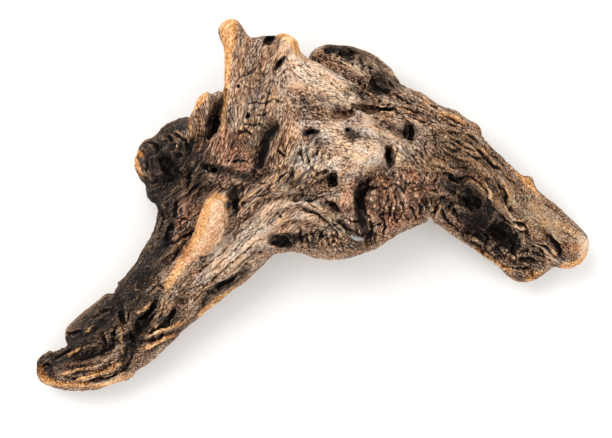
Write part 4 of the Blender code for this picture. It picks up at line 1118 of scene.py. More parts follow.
def rough_form(collection):
    """One object with every limb and swelling in it, still overlapping."""
    mesh = bmesh.new()
    for stations in LIMBS.values():
        loft_limb(mesh, stations)
    for sizes in SWELLINGS.values():
        add_ball(mesh, *sizes)
    bmesh.ops.recalc_face_normals(mesh, faces=mesh.faces)
    return object_from(mesh, "driftwood_skin", collection)


def hollow_cutter(name, sizes, collection):
    """One uneven squashed ball of decay, turned in plan."""
    x, y, z, wide, long, high, turn = sizes
    mesh = bmesh.new()
    add_ball(mesh, 0, 0, 0, wide, long, high)
    for vert in mesh.verts:
        outward = Vector((vert.co.x / wide, vert.co.y / long, vert.co.z / high)) / MM
        vert.co *= 1 + HOLLOW_WARP * noise.noise(outward * HOLLOW_KNOBS + Vector((x, y, z)))
    cutter = object_from(mesh, name, collection)
    cutter.location = (x * MM, y * MM, z * MM)
    cutter.rotation_euler = (0, 0, math.radians(turn))


def bore_cutter(name, sizes, top, collection):
    """One tapered bore that starts above the skin and ends in the wood."""
    x, y, radius, length, turn = sizes
    mesh = bmesh.new()
    bmesh.ops.create_cone(mesh, cap_ends=True, segments=BORE_SIDES, radius1=radius * BORE_TAPER * MM,
                          radius2=radius * MM, depth=2 * BORE_DEPTH * MM)
    for vert in mesh.verts:
        vert.co.x *= length
    cutter = object_from(mesh, name, collection)
    cutter.location = (x * MM, y * MM, top)
    cutter.rotation_euler = (0, 0, math.radians(turn))


def apply_modifiers(wood):
    """Turns the object's modifiers into its own mesh."""
    graph = bpy.context.evaluated_depsgraph_get()
    old = wood.data
    data = bpy.data.meshes.new_from_object(wood.evaluated_get(graph))
    wood.modifiers.clear()
    wood.data = data
    bpy.data.meshes.remove(old)


def skin_over(wood, step, passes):
    """Grows one closed skin over the shapes and softens where they meet."""
    remesh = wood.modifiers.new("skin", "REMESH")
    remesh.mode = "VOXEL"
    remesh.voxel_size = step
    smooth = wood.modifiers.new("fillets", "SMOOTH")
    smooth.factor = PASS_STRENGTH
    smooth.iterations = passes
    apply_modifiers(wood)


def cut_away(wood, cutters):
    """Takes every cutter of a collection out of the wood."""
    cut = wood.modifiers.new("hollows", "BOOLEAN")
    cut.operand_type = "COLLECTION"
    cut.collection = cutters
    cut.operation = "DIFFERENCE"
    apply_modifiers(wood)


def vertex_rows(data):
    """Places and normals of a mesh's vertices."""
    places = np.empty(len(data.vertices) * 3, np.float32)
    data.vertices.foreach_get("co", places)
    normals = np.empty(len(data.vertices) * 3, np.float32)
    data.vertex_normals.foreach_get("vector", normals)
    return places.reshape(-1, 3), normals.reshape(-1, 3)


def stroke_value(spots, stations):
    """Value of one drawn stroke at each spot of the plan: full on its line and nothing past its width.

    The stroke is a list of stations, or an array of points that are smooth already.
    """
    rows = stations if isinstance(stations, np.ndarray) else smooth_stations(stations, CREASE_STEP)
    reach = rows[:, 2].max()
    low = rows[:, :2].min(axis=0) - reach
    high = rows[:, :2].max(axis=0) + reach
    near = np.nonzero(((spots > low) & (spots < high)).all(axis=1))[0]
    found = np.zeros(len(spots))
    best = np.zeros(len(near))
    for start, end in zip(rows[:-1], rows[1:]):
        run = end[:2] - start[:2]
        along = np.clip((spots[near] - start[:2]) @ run / (run @ run), 0, 1)[:, None]
        here = start + (end - start) * along
        away = np.linalg.norm(spots[near] - here[:, :2], axis=1) / here[:, 2]
        value = here[:, 3] * np.clip(1 - away**2, 0, None) ** 2
        best = np.where(np.abs(value) > np.abs(best), value, best)
    found[near] = best
    return found


def press_creases(wood):
    """Presses the furrows in, raises the ridges, and makes the skin gently lumpy."""
    places, normals = vertex_rows(wood.data)
    spots = places[:, :2].astype(float) / MM
    push = np.zeros(len(places))
    for table, side in ((CREASES, 1), (UNDER_CREASES, -1)):
        facing = np.clip(side * normals[:, 2] / FULL_FACING, 0, 1)
        for stations in table.values():
            push -= stroke_value(spots, stations) * facing
    for wavelength, height in LUMPS:
        lumps = [noise.noise(Vector(place) / (wavelength * MM)) for place in places]
        push += height * np.array(lumps)
    places += normals * (push * MM)[:, None]
    wood.data.vertices.foreach_set("co", places.ravel())
    wood.data.update()


def wandered(spots):
    """The plan's spots, shifted a little by noise so that drawn lines come out ragged."""
    found = np.array(spots)
    for size, reach in RAGGED:
        for axis, level in enumerate(RAGGED_LEVELS):
            push = [noise.noise(Vector((x / size, y / size, level))) for x, y in spots]
            found[:, axis] += reach * np.array(push)
    return found


def tapered(line, width, value):
    """A drawn line as a stroke whose value fades at both ends."""
    rows = smooth_stations([(x, y, width, 0) for x, y in line], CREASE_STEP)
    along = np.linspace(0, 1, len(rows))
    rows[:, 3] = value * np.clip(TAPER_RATE * np.minimum(along, 1 - along) + TAPER_START, 0, 1)
    return rows


def cut_fissures(wood):
    """Cuts drawn cracks into the fine skin, raises drawn ridges, and keeps how much painted shade each crack
    gets.
    """
    places, normals = vertex_rows(wood.data)
    spots = wandered(places[:, :2].astype(float) / MM)
    facing = np.clip(normals[:, 2] / CRACK_FACING, 0, 1)
    depth = np.zeros(len(places))
    crack_shade = np.zeros(len(places))
    for width, value, lines in FISSURES.values():
        for line in lines:
            pressed = stroke_value(spots, tapered(line, width, value))
            depth = np.where(np.abs(pressed) > np.abs(depth), pressed, depth)
            crack_shade = np.maximum(crack_shade, pressed / abs(value) * min(1, abs(value) / width / SHADE_SLOPE))
    places -= normals * (depth * facing * MM)[:, None]
    wood.data.vertices.foreach_set("co", places.ravel())
    wood.data.update()
    write_values(wood.data, "fissure", "FLOAT", crack_shade * facing)


def skin_height(wood, x, y):
    """Height of the upper side over one place of the plan, in metres."""
    hit, place, _normal, _face = wood.ray_cast((x * MM, y * MM, ABOVE), (0, 0, -1))
    if not hit:
        raise ValueError(f"no wood at {x}, {y}")
    return place.z


def grow_form(step):
    """The wood's whole form, with its hollows and bores, under one fine skin."""
    scene = bpy.context.scene.collection
    hollows = bpy.data.collections.new("hollow_cutters")
    scene.children.link(hollows)
    wood = rough_form(scene)
    skin_over(wood, FORM_STEP * MM, FILLET_PASSES)
    press_creases(wood)
    for name, sizes in HOLLOWS.items():
        hollow_cutter(name, sizes, hollows)
    for name, sizes in BORES.items():
        bore_cutter(name, sizes, skin_height(wood, sizes[0], sizes[1]), hollows)
    cut_away(wood, hollows)
    for cutter in list(hollows.objects):
        bpy.data.objects.remove(cutter)
    bpy.data.collections.remove(hollows)
    skin_over(wood, step, RIM_PASSES)
    return wood


def grain_field():
    """Grain coordinates on the sheet: distance along the fibres and distance across them."""
    left, low, right, high = GRAIN_SHEET
    xs = np.arange(left, right, GRAIN_CELL)
    ys = np.arange(low, high, GRAIN_CELL)
    across, up = np.meshgrid(xs, ys)
    total = np.zeros((*across.shape, 2))
    weight = np.zeros(across.shape)
    for line in GRAIN_LINES.values():
        rows = smooth_stations([(x, y, 1, 1) for x, y in line], CREASE_STEP)[:, :2]
        middles = (rows[1:] + rows[:-1]) / 2
        runs = rows[1:] - rows[:-1]
        for (x, y), run in zip(middles, runs):
            near = 1 / ((across - x) ** 2 + (up - y) ** 2 + GRAIN_SOFTNESS**2) ** 1.5
            total += near[..., None] * run
            weight += near
    direction = total / np.linalg.norm(total, axis=2, keepdims=True)
    along = flat_potential(direction[..., 0], direction[..., 1])
    aside = flat_potential(-direction[..., 1], direction[..., 0])
    return along, aside


def flat_potential(slope_x, slope_y):
    """The height map, in millimetres, whose slopes come nearest to the ones that are asked for."""
    rows, columns = slope_x.shape
    pull = np.zeros((rows, columns))
    step_x = (slope_x[:, 1:] + slope_x[:, :-1]) / 2
    step_y = (slope_y[1:] + slope_y[:-1]) / 2
    pull[:, :-1] += step_x
    pull[:, 1:] -= step_x
    pull[:-1] += step_y
    pull[1:] -= step_y
    mirrored = np.concatenate([pull, pull[::-1]], axis=0)
    mirrored = np.concatenate([mirrored, mirrored[:, ::-1]], axis=1)
    waves = np.fft.rfft2(mirrored)
    wave_y = 2 - 2 * np.cos(2 * np.pi * np.arange(2 * rows) / (2 * rows))
    wave_x = 2 - 2 * np.cos(2 * np.pi * np.arange(columns + 1) / (2 * columns))
    size = wave_y[:, None] + wave_x[None, :]
    size[0, 0] = 1
    waves /= size
    waves[0, 0] = 0
    return np.fft.irfft2(waves, s=mirrored.shape)[:rows, :columns] * GRAIN_CELL


def read_sheet(values, spots):
    """Values of a sheet between its cells, at each spot of the plan."""
    left, low = GRAIN_SHEET[:2]
    x = np.clip((spots[:, 0] - left) / GRAIN_CELL, 0, values.shape[1] - 1.001)
    y = np.clip((spots[:, 1] - low) / GRAIN_CELL, 0, values.shape[0] - 1.001)
    column = x.astype(int)
    row = y.astype(int)
    right = x - column
    up = y - row
    lower = values[row, column] * (1 - right) + values[row, column + 1] * right
    upper = values[row + 1, column] * (1 - right) + values[row + 1, column + 1] * right
    return lower * (1 - up) + upper * up


def write_values(data, name, kind, values):
    """Stores one value for each vertex."""
    layer = data.attributes.new(name, kind, "POINT")
    part = "vector" if kind == "FLOAT_VECTOR" else "value"
    layer.data.foreach_set(part, values.astype(np.float32).ravel())


def mark_skin(wood):
    """Writes grain coordinates, colour zones and drawn strokes of tone, painted shade and painted light on
    the skin.
    """
    places, normals = vertex_rows(wood.data)
    spots = places[:, :2].astype(float) / MM
    along, aside = grain_field()
    flow = np.stack([read_sheet(along, spots), read_sheet(aside, spots), places[:, 2] / MM], axis=1)
    write_values(wood.data, "flow", "FLOAT_VECTOR", flow * MM)
    least, full = COLOUR_FACING
    facing = np.clip((normals[:, 2] - least) / (full - least), 0, 1)
    for name, strokes in ZONES.items():
        zone = np.zeros(len(spots))
        for stations in strokes:
            zone = np.maximum(zone, stroke_value(spots, stations))
        write_values(wood.data, name, "FLOAT", zone * facing)
    shade = sum(stroke_value(spots, stations) for stations in PAINTED_LIGHT_AND_TONE)
    write_values(wood.data, "shade", "FLOAT", shade * facing)


def add_node(tree, kind, settings, links, output=0):
    """Adds a node with its settings and links, and gives one of its outputs.

    Settings are a dictionary, or the name of an operation. Links are sockets or values for the inputs, in a
    dictionary or in order.
    """
    node = tree.nodes.new(kind)
    if isinstance(settings, str):
        settings = {"operation": settings}
    for name, value in settings.items():
        setattr(node, name, value)
    if not isinstance(links, dict):
        links = dict(enumerate(links))
    for name, value in links.items():
        socket = node.inputs[name]
        if isinstance(value, bpy.types.NodeSocket):
            tree.links.new(value, socket)
        else:
            socket.default_value = value
    return node.outputs[output]


def share(tree, value, middle, size, total=0.0):
    """How far a value is above its middle, times a size, on top of a total."""
    above = add_node(tree, MATH, "SUBTRACT", (value, middle))
    return add_node(tree, MATH, "MULTIPLY_ADD", (above, size, total))


def drawn_out(tree, flow, length, width):
    """Grain coordinates in parts of a length along the grain and a width across it, both in metres."""
    return add_node(tree, VECTOR_MATH, "MULTIPLY", (flow, (1 / length, 1 / width, 1 / width)))


def streaks(tree, flow, length, width, detail, warp=0.0):
    """Noise drawn out along the grain."""
    return add_node(tree, "ShaderNodeTexNoise", {"noise_dimensions": "3D"},
                    {"Vector": drawn_out(tree, flow, length, width), "Scale": 1.0, "Detail": detail,
                     "Roughness": 0.55, "Distortion": warp})


def wander(tree, flow, size, reach):
    """The grain coordinates, pushed about by a slow noise so that nothing runs dead straight."""
    push = add_node(tree, "ShaderNodeTexNoise", {"noise_dimensions": "3D"},
                    {"Vector": flow, "Scale": 1 / size, "Detail": 2.0}, "Color")
    push = add_node(tree, VECTOR_MATH, "SUBTRACT", (push, (NOISE_MIDDLE,) * 3))
    push = add_node(tree, VECTOR_MATH, "SCALE", {0: push, "Scale": reach})
    return add_node(tree, VECTOR_MATH, "ADD", (flow, push))


def crack_edges(tree, flow, length, width):
    """Distance to the nearest drying crack, in parts of the cracks' spacing."""
    return add_node(tree, "ShaderNodeTexVoronoi",
                    {"feature": "DISTANCE_TO_EDGE", "voronoi_dimensions": "3D"},
                    {"Vector": drawn_out(tree, flow, length, width), "Scale": 1.0, "Randomness": 1.0},
                    "Distance")


def opened(tree, edge, width, strength=1.0):
    """How open a crack is at a distance from its middle: in full there, and not at all past a width."""
    closed = add_node(tree, RANGE, EASED, (edge, 0.0, width))
    closed = add_node(tree, MATH, "MULTIPLY", (closed, strength))
    return add_node(tree, MATH, "SUBTRACT", (strength, closed))


def folds(tree, flow, length, width):
    """Height of folds along the grain: nothing in their sharp valleys and about 1 on their backs."""
    slow = streaks(tree, flow, length, width, 2.0)
    away = add_node(tree, MATH, "SUBTRACT", (slow, NOISE_MIDDLE))
    away = add_node(tree, MATH, "ABSOLUTE", (away,))
    return add_node(tree, MATH, "MULTIPLY", (away, FOLD_GAIN))


def grain_folds(tree, flow, skin):
    """Wandering grain coordinates, and the strands and fibres that follow them."""
    bent = wander(tree, flow, *GRAIN_WANDER)
    strand = folds(tree, bent, STRAND_LENGTH * skin.strand_width, skin.strand_width)
    fibre = folds(tree, bent, FIBRE_LENGTH * skin.fibre_width, skin.fibre_width)
    return bent, strand, fibre


def crack_strength(tree, flow, cracked, width, spread):
    """How open the long drying cracks are: 1 in a crack and 0 on sound wood."""
    bent = wander(tree, wander(tree, flow, 11 * MM, 6 * MM), 3 * MM, 1.6 * MM)
    wide = opened(tree, crack_edges(tree, bent, 2.2 * width, width), spread)
    thin = opened(tree, crack_edges(tree, bent, 1.4 * width, 0.5 * width), 1.5 * spread)
    thin = add_node(tree, MATH, "MULTIPLY", (thin, 0.5))
    both = add_node(tree, MATH, "MAXIMUM", (wide, thin))
    # They come in patches, and most where the wood is marked as cracked
    patches = streaks(tree, flow, 30 * MM, 16 * MM, 1.0)
    here = add_node(tree, MATH, "SUBTRACT", (cracked, 1.05))
    here = add_node(tree, MATH, "MULTIPLY_ADD", (patches, 1.6, here))
    here = add_node(tree, RANGE, EASED, (here, 0.0, 0.6))
    return add_node(tree, MATH, "MULTIPLY", (both, here))


def relief_tree(material, skin):
    """The Geometry Nodes that raise strands, fibres, knobs and splinters and open the drying cracks."""
    tree = bpy.data.node_groups.new("wood_relief", "GeometryNodeTree")
    face = tree.interface
    face.new_socket("Geometry", in_out="INPUT", socket_type="NodeSocketGeometry")
    sizes = {
        "Strand Height": skin.strand_height,
        "Fibre Height": skin.fibre_height,
        "Crack Depth": skin.crack_depth,
        "Knob Height": skin.knob_height,
        "Splinter Height": skin.splinter_height,
    }
    for name, size in sizes.items():
        socket = face.new_socket(name, in_out="INPUT", socket_type="NodeSocketFloat")
        socket.default_value = size
        socket.subtype = "DISTANCE"
    face.new_socket("Geometry", in_out="OUTPUT", socket_type="NodeSocketGeometry")
    start = tree.nodes.new("NodeGroupInput").outputs
    flow, cracked, worn, char, red = (
        add_node(tree, "GeometryNodeInputNamedAttribute", {"data_type": kind}, {"Name": name}, "Attribute")
        for name, kind in (("flow", "FLOAT_VECTOR"), ("cracked", "FLOAT"), ("worn", "FLOAT"),
                           ("char", "FLOAT"), ("red", "FLOAT"))
    )
    normal = add_node(tree, "GeometryNodeInputNormal", {}, ())
    facing = add_node(tree, "ShaderNodeSeparateXYZ", {}, (normal,), "Z")
    # Worn wood is smooth, and the under side keeps two fifths of its relief
    seen = add_node(tree, RANGE, EASED, (facing, -0.5, 0.1))
    seen = add_node(tree, MATH, "MULTIPLY_ADD", (seen, 0.6, 0.4))
    rough = add_node(tree, MATH, "MULTIPLY", (worn, 0.85))
    rough = add_node(tree, MATH, {"operation": "SUBTRACT", "use_clamp": True}, (1.0, rough))
    rough = add_node(tree, MATH, "MULTIPLY", (rough, seen))
    bent, strand, fibre = grain_folds(tree, flow, skin)
    strand = share(tree, strand, FOLD_MIDDLE, start["Strand Height"])
    fibre = share(tree, fibre, FOLD_MIDDLE, start["Fibre Height"])
    knobs = share(tree, streaks(tree, bent, 7 * MM, 5 * MM, 3.0), NOISE_MIDDLE, start["Knob Height"])
    splinter_height = add_node(tree, MATH, "MULTIPLY", (char, start["Splinter Height"]))
    splinter = share(tree, folds(tree, bent, 9 * MM, 3.6 * MM), FOLD_MIDDLE, splinter_height)
    strand = add_node(tree, MATH, "ADD", (strand, fibre))
    knobs = add_node(tree, MATH, "ADD", (knobs, splinter))
    grain = add_node(tree, MATH, "ADD", (strand, knobs))
    grain = add_node(tree, MATH, "MULTIPLY", (grain, rough))
    # The burl's long cracks are shallower
    crack = crack_strength(tree, flow, cracked, skin.crack_spacing, 0.1)
    crack = add_node(tree, MATH, "MULTIPLY", (crack, add_node(tree, MATH, CLAMPED_SUM, (red, -0.6, 1.0))))
    crack = add_node(tree, MATH, "MULTIPLY", (crack, start["Crack Depth"]))
    height = add_node(tree, MATH, "SUBTRACT", (grain, crack))
    offset = add_node(tree, VECTOR_MATH, "SCALE", {0: normal, "Scale": height})
    shape = add_node(tree, "GeometryNodeSetPosition", {}, {"Geometry": start["Geometry"], "Offset": offset})
    for name, (passes, _shade_weight) in HOLLOW_SHADING.items():
        shape = store_hollowness(tree, shape, name, passes)
    shape = add_node(tree, "GeometryNodeRealizeInstances", {}, (shape,))
    shape = add_node(tree, "GeometryNodeSetMaterial", {}, {"Geometry": shape, "Material": material})
    end = tree.nodes.new("NodeGroupOutput")
    tree.links.new(shape, end.inputs[0])
    return tree


def store_hollowness(tree, shape, name, passes):
    """Stores how far each spot stands out of its surroundings, in metres; hollows are below nothing."""
    place = add_node(tree, "GeometryNodeInputPosition", {}, ())
    normal = add_node(tree, "GeometryNodeInputNormal", {}, ())
    blurred = add_node(tree, "GeometryNodeBlurAttribute", {"data_type": "FLOAT_VECTOR"},
                       {"Value": place, "Iterations": passes})
    out = add_node(tree, VECTOR_MATH, "SUBTRACT", (place, blurred))
    stands = add_node(tree, VECTOR_MATH, "DOT_PRODUCT", (out, normal), "Value")
    return add_node(tree, "GeometryNodeStoreNamedAttribute", {"data_type": "FLOAT", "domain": "POINT"},
                    {"Geometry": shape, "Name": name, "Value": stands})


def grain_patterns(tree, flow, skin):
    """The patterns of the grain and of its stains."""
    bent, strand, fibre = grain_folds(tree, flow, skin)
    return {
        "bent": bent,
        "strand": strand,
        "fibre": fibre,
        "hair": streaks(tree, bent, 7 * MM, 0.8 * MM, 2.0),
        "mottle": streaks(tree, flow, 1.4 * MM, 1.1 * MM, 3.0),
        "patch": streaks(tree, flow, 7 * MM, 5 * MM, 4.0, 0.8),
        "blotch": streaks(tree, flow, 26 * MM, 13 * MM, 3.0),
    }


def drying_cracks(tree, read, grain, spacing):
    """Every thin crack of the dried wood: the long ones, a crackle between them, and hairlines."""
    flow = read["flow"]
    crack = crack_strength(tree, flow, read["cracked"], spacing, 0.075)
    # Fine even crackle where the wood has dried hard, wider on the burl
    crackle = crack_edges(tree, wander(tree, flow, 6 * MM, 3 * MM), 6.5 * MM, 5 * MM)
    crackle_width = add_node(tree, MATH, "MULTIPLY_ADD", (read["red"], 0.08, 0.13))
    crackle = opened(tree, crackle, crackle_width, 0.85)
    hairline = crack_edges(tree, wander(tree, flow, 4 * MM, 2.6 * MM), 4.4 * MM, 3.2 * MM)
    hairline = opened(tree, hairline, 0.13, 0.8)
    for lines, patches, size, low, high in (
        (crackle, grain["patch"], 1.2, 0.15, 0.6),
        (hairline, grain["blotch"], 1.6, 0.2, 0.7),
    ):
        dried = share(tree, patches, NOISE_MIDDLE, size, read["cracked"])
        dried = add_node(tree, RANGE, EASED, (dried, low, high))
        lines = add_node(tree, MATH, "MULTIPLY", (lines, dried))
        crack = add_node(tree, MATH, "MAXIMUM", (crack, lines))
    return crack


def ring_lines(tree, read, grain):
    """Thin dark lines along the grain, where softer wood has weathered out between the rings."""
    ring = streaks(tree, grain["bent"], 24 * MM, 3.4 * MM, 2.0)
    ring = add_node(tree, MATH, "SUBTRACT", (ring, NOISE_MIDDLE))
    ring = add_node(tree, MATH, "ABSOLUTE", (ring,))
    patches = add_node(tree, RANGE, EASED, (grain["patch"], 0.36, 0.56))
    ring = add_node(tree, MATH, "MULTIPLY", (opened(tree, ring, 0.03), patches))
    strength = add_node(tree, MATH, "MULTIPLY_ADD", (read["olive"], 0.34, 0.15))
    return add_node(tree, MATH, "MULTIPLY", (ring, strength))


def wood_tone(tree, read, grain):
    """Tone of the wood: light on the backs of folds and fibres, dark in valleys and flecks, with drawn
    strokes and with painted shade in hollows and painted light on standing parts.
    """
    tone = share(tree, grain["strand"], FOLD_MIDDLE, 0.09)
    tone = share(tree, grain["fibre"], FOLD_MIDDLE, 0.1, tone)
    tone = share(tree, grain["hair"], NOISE_MIDDLE, 0.9, tone)
    smooth = add_node(tree, MATH, CLAMPED_SUM, (read["worn"], -0.7, 1.0))
    tone = add_node(tree, MATH, "MULTIPLY", (tone, smooth))
    tone = add_node(tree, MATH, "SUBTRACT", (tone, ring_lines(tree, read, grain)))
    # Worn and black wood are less speckled
    speckle = add_node(tree, MATH, "MULTIPLY_ADD", (read["worn"], -0.7, 2.65))
    black = add_node(tree, MATH, "MULTIPLY_ADD", (read["char"], -0.4, 1.0))
    speckle = add_node(tree, MATH, "MULTIPLY", (speckle, black))
    tone = share(tree, grain["mottle"], NOISE_MIDDLE, speckle, tone)
    tone = add_node(tree, MATH, "ADD", (tone, TONE_MIDDLE))
    # Drawn strokes: the wood's own tone, painted shade and painted light
    tone = add_node(tree, MATH, "ADD", (tone, read["shade"]))
    tone = share(tree, grain["blotch"], NOISE_MIDDLE, 0.6, tone)
    # Pale, black and worn wood are more patched
    patched = add_node(tree, MATH, "ADD", (read["pale"], read["char"]))
    patched = add_node(tree, MATH, "ADD", (patched, add_node(tree, MATH, "ADD", (read["worn"], 1.0))))
    patch = share(tree, grain["patch"], NOISE_MIDDLE, 0.4)
    tone = add_node(tree, MATH, "MULTIPLY_ADD", (patch, patched, tone))
    # Painted shade in hollows and painted light on standing parts, by how far each spot stands out
    for name, (_passes, weight) in HOLLOW_SHADING.items():
        tone = add_node(tree, MATH, "MULTIPLY_ADD", (read[name], weight, tone))
    return tone


def zone_amounts(tree, read, grain):
    """How much of each coloured wood shows, with ragged edges."""
    amounts = {}
    for name in ("char", "pale", "amber", "fresh", "red", "olive"):
        edge = share(tree, grain["blotch"], NOISE_MIDDLE, 0.9, read[name])
        edge = share(tree, grain["hair"], NOISE_MIDDLE, 0.6, edge)
        amounts[name] = add_node(tree, RANGE, EASED, (edge, 0.12, 0.72))
    return amounts


def one_wood(tree, tone, parts):
    """Colour of one wood for each tone, from its deepest grain to its lightest face."""
    ramp = add_node(tree, "ShaderNodeValToRGB", {}, (tone,))
    elements = ramp.node.color_ramp.elements
    while len(elements) < len(RAMP_TONES):
        elements.new(0.5)
    for element, place, colour in zip(elements, RAMP_TONES, parts):
        element.position = place
        element.color = (*colour, 1)
    return ramp


def wood_colour(tree, read, grain, colours):
    """Colour of sound wood, without its cracks."""
    tone = wood_tone(tree, read, grain)
    zones = zone_amounts(tree, read, grain)
    woods = {}
    for name, parts in WOOD_TONES.items():
        deep, dim, light = (linear(part) for part in parts)
        woods[name] = one_wood(tree, tone, (deep, dim, tuple(getattr(colours, name)), light))
    colour = woods["wood"]
    for name in ("olive", "red", "pale"):
        colour = add_node(tree, MIX, COLOUR_MIX, {0: zones[name], UNDER: colour, OVER: woods[name]}, MIXED)
    # Rust brown and bluish grey patches, as iron and algae leave them
    hue = streaks(tree, read["flow"], 12 * MM, 8 * MM, 3.0)
    hue = add_node(tree, RANGE, EASED, (hue, 0.35, 0.65))
    tint = add_node(tree, MIX, COLOUR_MIX, {0: hue, UNDER: (*RUST_TINT, 1), OVER: (*GREY_TINT, 1)}, MIXED)
    colour = add_node(tree, MIX, {**COLOUR_MIX, "blend_type": "MULTIPLY"},
                      {0: 1.0, UNDER: colour, OVER: tint}, MIXED)
    for name in ("char", "amber", "fresh"):
        colour = add_node(tree, MIX, COLOUR_MIX, {0: zones[name], UNDER: colour, OVER: woods[name]}, MIXED)
    # Standing edges are painted orange: wood worn down by handling and sand, and painted glints where the
    # edges catch the light
    rubbed_and_glint = share(tree, grain["blotch"], NOISE_MIDDLE, 0.9 * MM, read["cavity"])
    rubbed_and_glint = add_node(tree, RANGE, EASED, (rubbed_and_glint, 0.16 * MM, 0.5 * MM))
    sound = add_node(tree, MATH, "MULTIPLY_ADD", (zones["char"], -0.28, 0.36))
    rubbed_and_glint = add_node(tree, MATH, "MULTIPLY", (rubbed_and_glint, sound))
    return add_node(tree, MIX, COLOUR_MIX, {0: rubbed_and_glint, UNDER: colour, OVER: woods["amber"]}, MIXED)


def wood_material(skin, colours):
    """Weathered root wood, washed and dried: matt, streaked along its grain, black in its hollows from
    blackened wood and painted shade.
    """
    material = bpy.data.materials.new("weathered_root_wood")
    material.use_nodes = True
    tree = material.node_tree
    shader = tree.nodes["Principled BSDF"]
    # Dry open wood scatters light and hardly shines
    shader.inputs["Metallic"].default_value = 0.0
    shader.inputs["IOR"].default_value = WOOD_IOR
    shader.inputs["Specular IOR Level"].default_value = WOOD_SPECULAR
    read = {"flow": add_node(tree, "ShaderNodeAttribute", {"attribute_name": "flow"}, (), "Vector")}
    for name in MARKS:
        read[name] = add_node(tree, "ShaderNodeAttribute", {"attribute_name": name}, (), "Fac")
    grain = grain_patterns(tree, read["flow"], skin)
    crack = drying_cracks(tree, read, grain, skin.crack_spacing)
    colour = wood_colour(tree, read, grain, colours)
    # Painted shade inside the drawn splits, darkest where the crack is deep for its width
    split_shade = add_node(tree, RANGE, EASED, (read["fissure"], 0.45, 0.95))
    lint = add_node(tree, RANGE, EASED, (read["lint"], 0.2, 0.9))
    for mark, strength, paint in (
        (crack, 0.92, CRACK_COLOUR), (split_shade, 0.9, SPLIT_SHADE_COLOUR), (lint, 0.55, LINT_COLOUR),
    ):
        amount = add_node(tree, MATH, "MULTIPLY", (mark, strength))
        paint = (*linear(paint), 1)
        colour = add_node(tree, MIX, COLOUR_MIX, {0: amount, UNDER: colour, OVER: paint}, MIXED)
    tree.links.new(colour, shader.inputs["Base Color"])

    rough = add_node(tree, MATH, "MULTIPLY_ADD", (read["worn"], -0.22, 0.88))
    rough = add_node(tree, MATH, CLAMPED_SUM, (grain["hair"], 0.1, rough))
    tree.links.new(rough, shader.inputs["Roughness"])

    # Fibres and hairlines too fine for the mesh, less than a millimetre high
    fine = add_node(tree, MATH, "MULTIPLY", (grain["fibre"], 0.2))
    fine = add_node(tree, MATH, "MULTIPLY_ADD", (grain["hair"], 0.6, fine))
    fine = add_node(tree, MATH, "MULTIPLY_ADD", (grain["mottle"], 0.8, fine))
    fine = add_node(tree, MATH, "SUBTRACT", (fine, add_node(tree, MATH, "MULTIPLY", (crack, 0.9))))
    depth = add_node(tree, MATH, CLAMPED_SUM, (read["worn"], -0.55, 0.9))
    bump = add_node(tree, "ShaderNodeBump", {}, {"Strength": depth, "Distance": 0.7 * MM, "Height": fine})
    tree.links.new(bump, shader.inputs["Normal"])
    return material


class DRIFTWOOD_OT_skin(Operator):
    """Grow the driftwood's fine skin with its grain, cracks and colours"""

    bl_idname = "driftwood.skin"
    bl_label = "Driftwood Skin"
    bl_options = {"REGISTER", "UNDO"}

    def execute(self, context):
        skin = context.scene.driftwood_skin
        wood = grow_form(skin.skin_step * (1))
        mark_skin(wood)
        cut_fissures(wood)
        material = wood_material(skin, context.scene.driftwood_colours)
        wood.data.materials.clear()
        wood.data.materials.append(material)
        relief = wood.modifiers.new("relief", "NODES")
        relief.node_group = relief_tree(material, skin)
        apply_modifiers(wood)
        triangles = sum(len(face.vertices) - 2 for face in wood.data.polygons)
        if triangles > skin.most_triangles:
            thin = wood.modifiers.new("thin", "DECIMATE")
            thin.ratio = skin.most_triangles / triangles
            apply_modifiers(wood)
        # From the layout sheet to the solid's frame, with the feet worn flat on the floor
        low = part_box(NODE)[0]
        places, _normals = vertex_rows(wood.data)
        places -= np.array([*SHEET_MIDDLE, FOOT_WEAR]) * MM
        places[:, 2] = np.maximum(places[:, 2], low[2])
        wood.data.vertices.foreach_set("co", places.ravel())
        wood.data.shade_smooth()
        wood.data.update()
        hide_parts(NODE)
        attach(wood, "root")
        return {"FINISHED"}


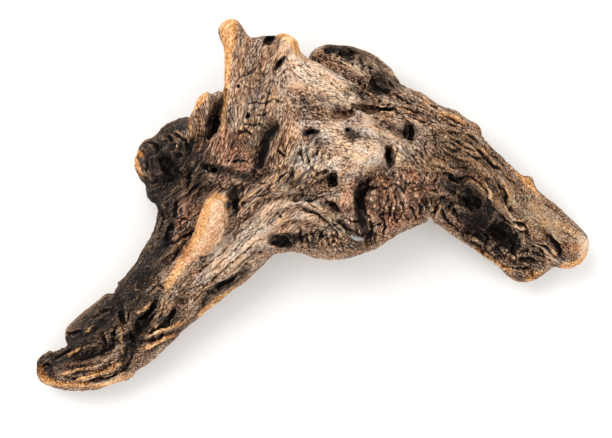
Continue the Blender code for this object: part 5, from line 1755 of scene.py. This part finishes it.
class DRIFTWOOD_OT_stage(Operator):
    """Make the plain floor, the soft lights and the camera that looks straight down"""

    bl_idname = "driftwood.stage"
    bl_label = "Driftwood Stage"
    bl_options = {"REGISTER", "UNDO"}

    def execute(self, context):
        stage = context.scene.driftwood_stage
        self.make_floor(context, stage)
        self.make_camera(context, stage)
        for name, power in (("key_light", stage.key_power), ("fill_light", stage.fill_power)):
            self.make_light(context, name, *LIGHTS[name], power)
        world = bpy.data.worlds.new("studio")
        world.use_nodes = True
        sky = world.node_tree.nodes["Background"]
        sky.inputs["Color"].default_value = (1, 1, 1, 1)
        sky.inputs["Strength"].default_value = STUDIO_STRENGTH
        context.scene.world = world
        context.scene.view_settings.view_transform = "Standard"
        return {"FINISHED"}

    def make_floor(self, context, stage):
        """A wide plain floor at the height of the feet."""
        mesh = bmesh.new()
        bmesh.ops.create_grid(mesh, x_segments=1, y_segments=1, size=FLOOR_REACH)
        floor = object_from(mesh, "floor", context.scene.collection)
        # Matt paper is an even white with no gleam
        paper = bpy.data.materials.new("matt_white_paper")
        paper.use_nodes = True
        shader = paper.node_tree.nodes["Principled BSDF"]
        shader.inputs["Base Color"].default_value = (*stage.floor_colour, 1)
        shader.inputs["Roughness"].default_value = PAPER_ROUGHNESS
        floor.data.materials.append(paper)

    def make_camera(self, context, stage):
        """A camera over the middle of the photograph's frame, upright on the sheet."""
        data = bpy.data.cameras.new("camera")
        camera = bpy.data.objects.new("camera", data)
        context.scene.collection.objects.link(camera)
        x = (PICTURE[0] * PIXEL_MM / 2 - SHEET_MIDDLE[0]) * MM
        y = (PICTURE[1] * PIXEL_MM / 2 - SHEET_MIDDLE[1]) * MM
        camera.location = (x, y, stage.camera_height)
        reach = stage.camera_height / MM - LOOK_HEIGHT_MM
        data.sensor_width = SENSOR_MM
        data.lens = SENSOR_MM * reach / (PICTURE[0] * PIXEL_MM)
        data.clip_start, data.clip_end = CAMERA_CLIP
        context.scene.camera = camera

    def make_light(self, context, name, place, size, power):
        """A soft square light that points at the wood."""
        data = bpy.data.lights.new(name, "AREA")
        data.size = size
        data.energy = power
        light = bpy.data.objects.new(name, data)
        context.scene.collection.objects.link(light)
        light.location = place
        light.rotation_euler = Vector(place).to_track_quat("Z", "Y").to_euler()


class DRIFTWOOD_PT_panel(Panel):
    """Driftwood's settings and steps"""

    bl_label = "Driftwood"
    bl_space_type = "VIEW_3D"
    bl_region_type = "UI"
    bl_category = "Driftwood"

    def draw(self, context):
        for operator in (DRIFTWOOD_OT_skin, DRIFTWOOD_OT_stage):
            self.layout.operator(operator.bl_idname)
        for name in ("driftwood_skin", "driftwood_colours", "driftwood_stage"):
            settings = getattr(context.scene, name)
            box = self.layout.box()
            for prop in settings.bl_rna.properties:
                if prop.identifier not in ("rna_type", "name"):
                    box.prop(settings, prop.identifier)


CLASSES = (
    DriftwoodSkinSettings,
    DriftwoodColourSettings,
    DriftwoodStageSettings,
    DRIFTWOOD_OT_skin,
    DRIFTWOOD_OT_stage,
    DRIFTWOOD_PT_panel,
)


def register():
    for cls in CLASSES:
        bpy.utils.register_class(cls)
    bpy.types.Scene.driftwood_skin = PointerProperty(type=DriftwoodSkinSettings)
    bpy.types.Scene.driftwood_colours = PointerProperty(type=DriftwoodColourSettings)
    bpy.types.Scene.driftwood_stage = PointerProperty(type=DriftwoodStageSettings)


def unregister():
    del bpy.types.Scene.driftwood_stage
    del bpy.types.Scene.driftwood_colours
    del bpy.types.Scene.driftwood_skin
    for cls in reversed(CLASSES):
        bpy.utils.unregister_class(cls)


def main():
    """Makes every piece and the stage."""
    register()
    bpy.ops.driftwood.skin()
    bpy.ops.driftwood.stage()


if __name__ == "__main__":
    main()
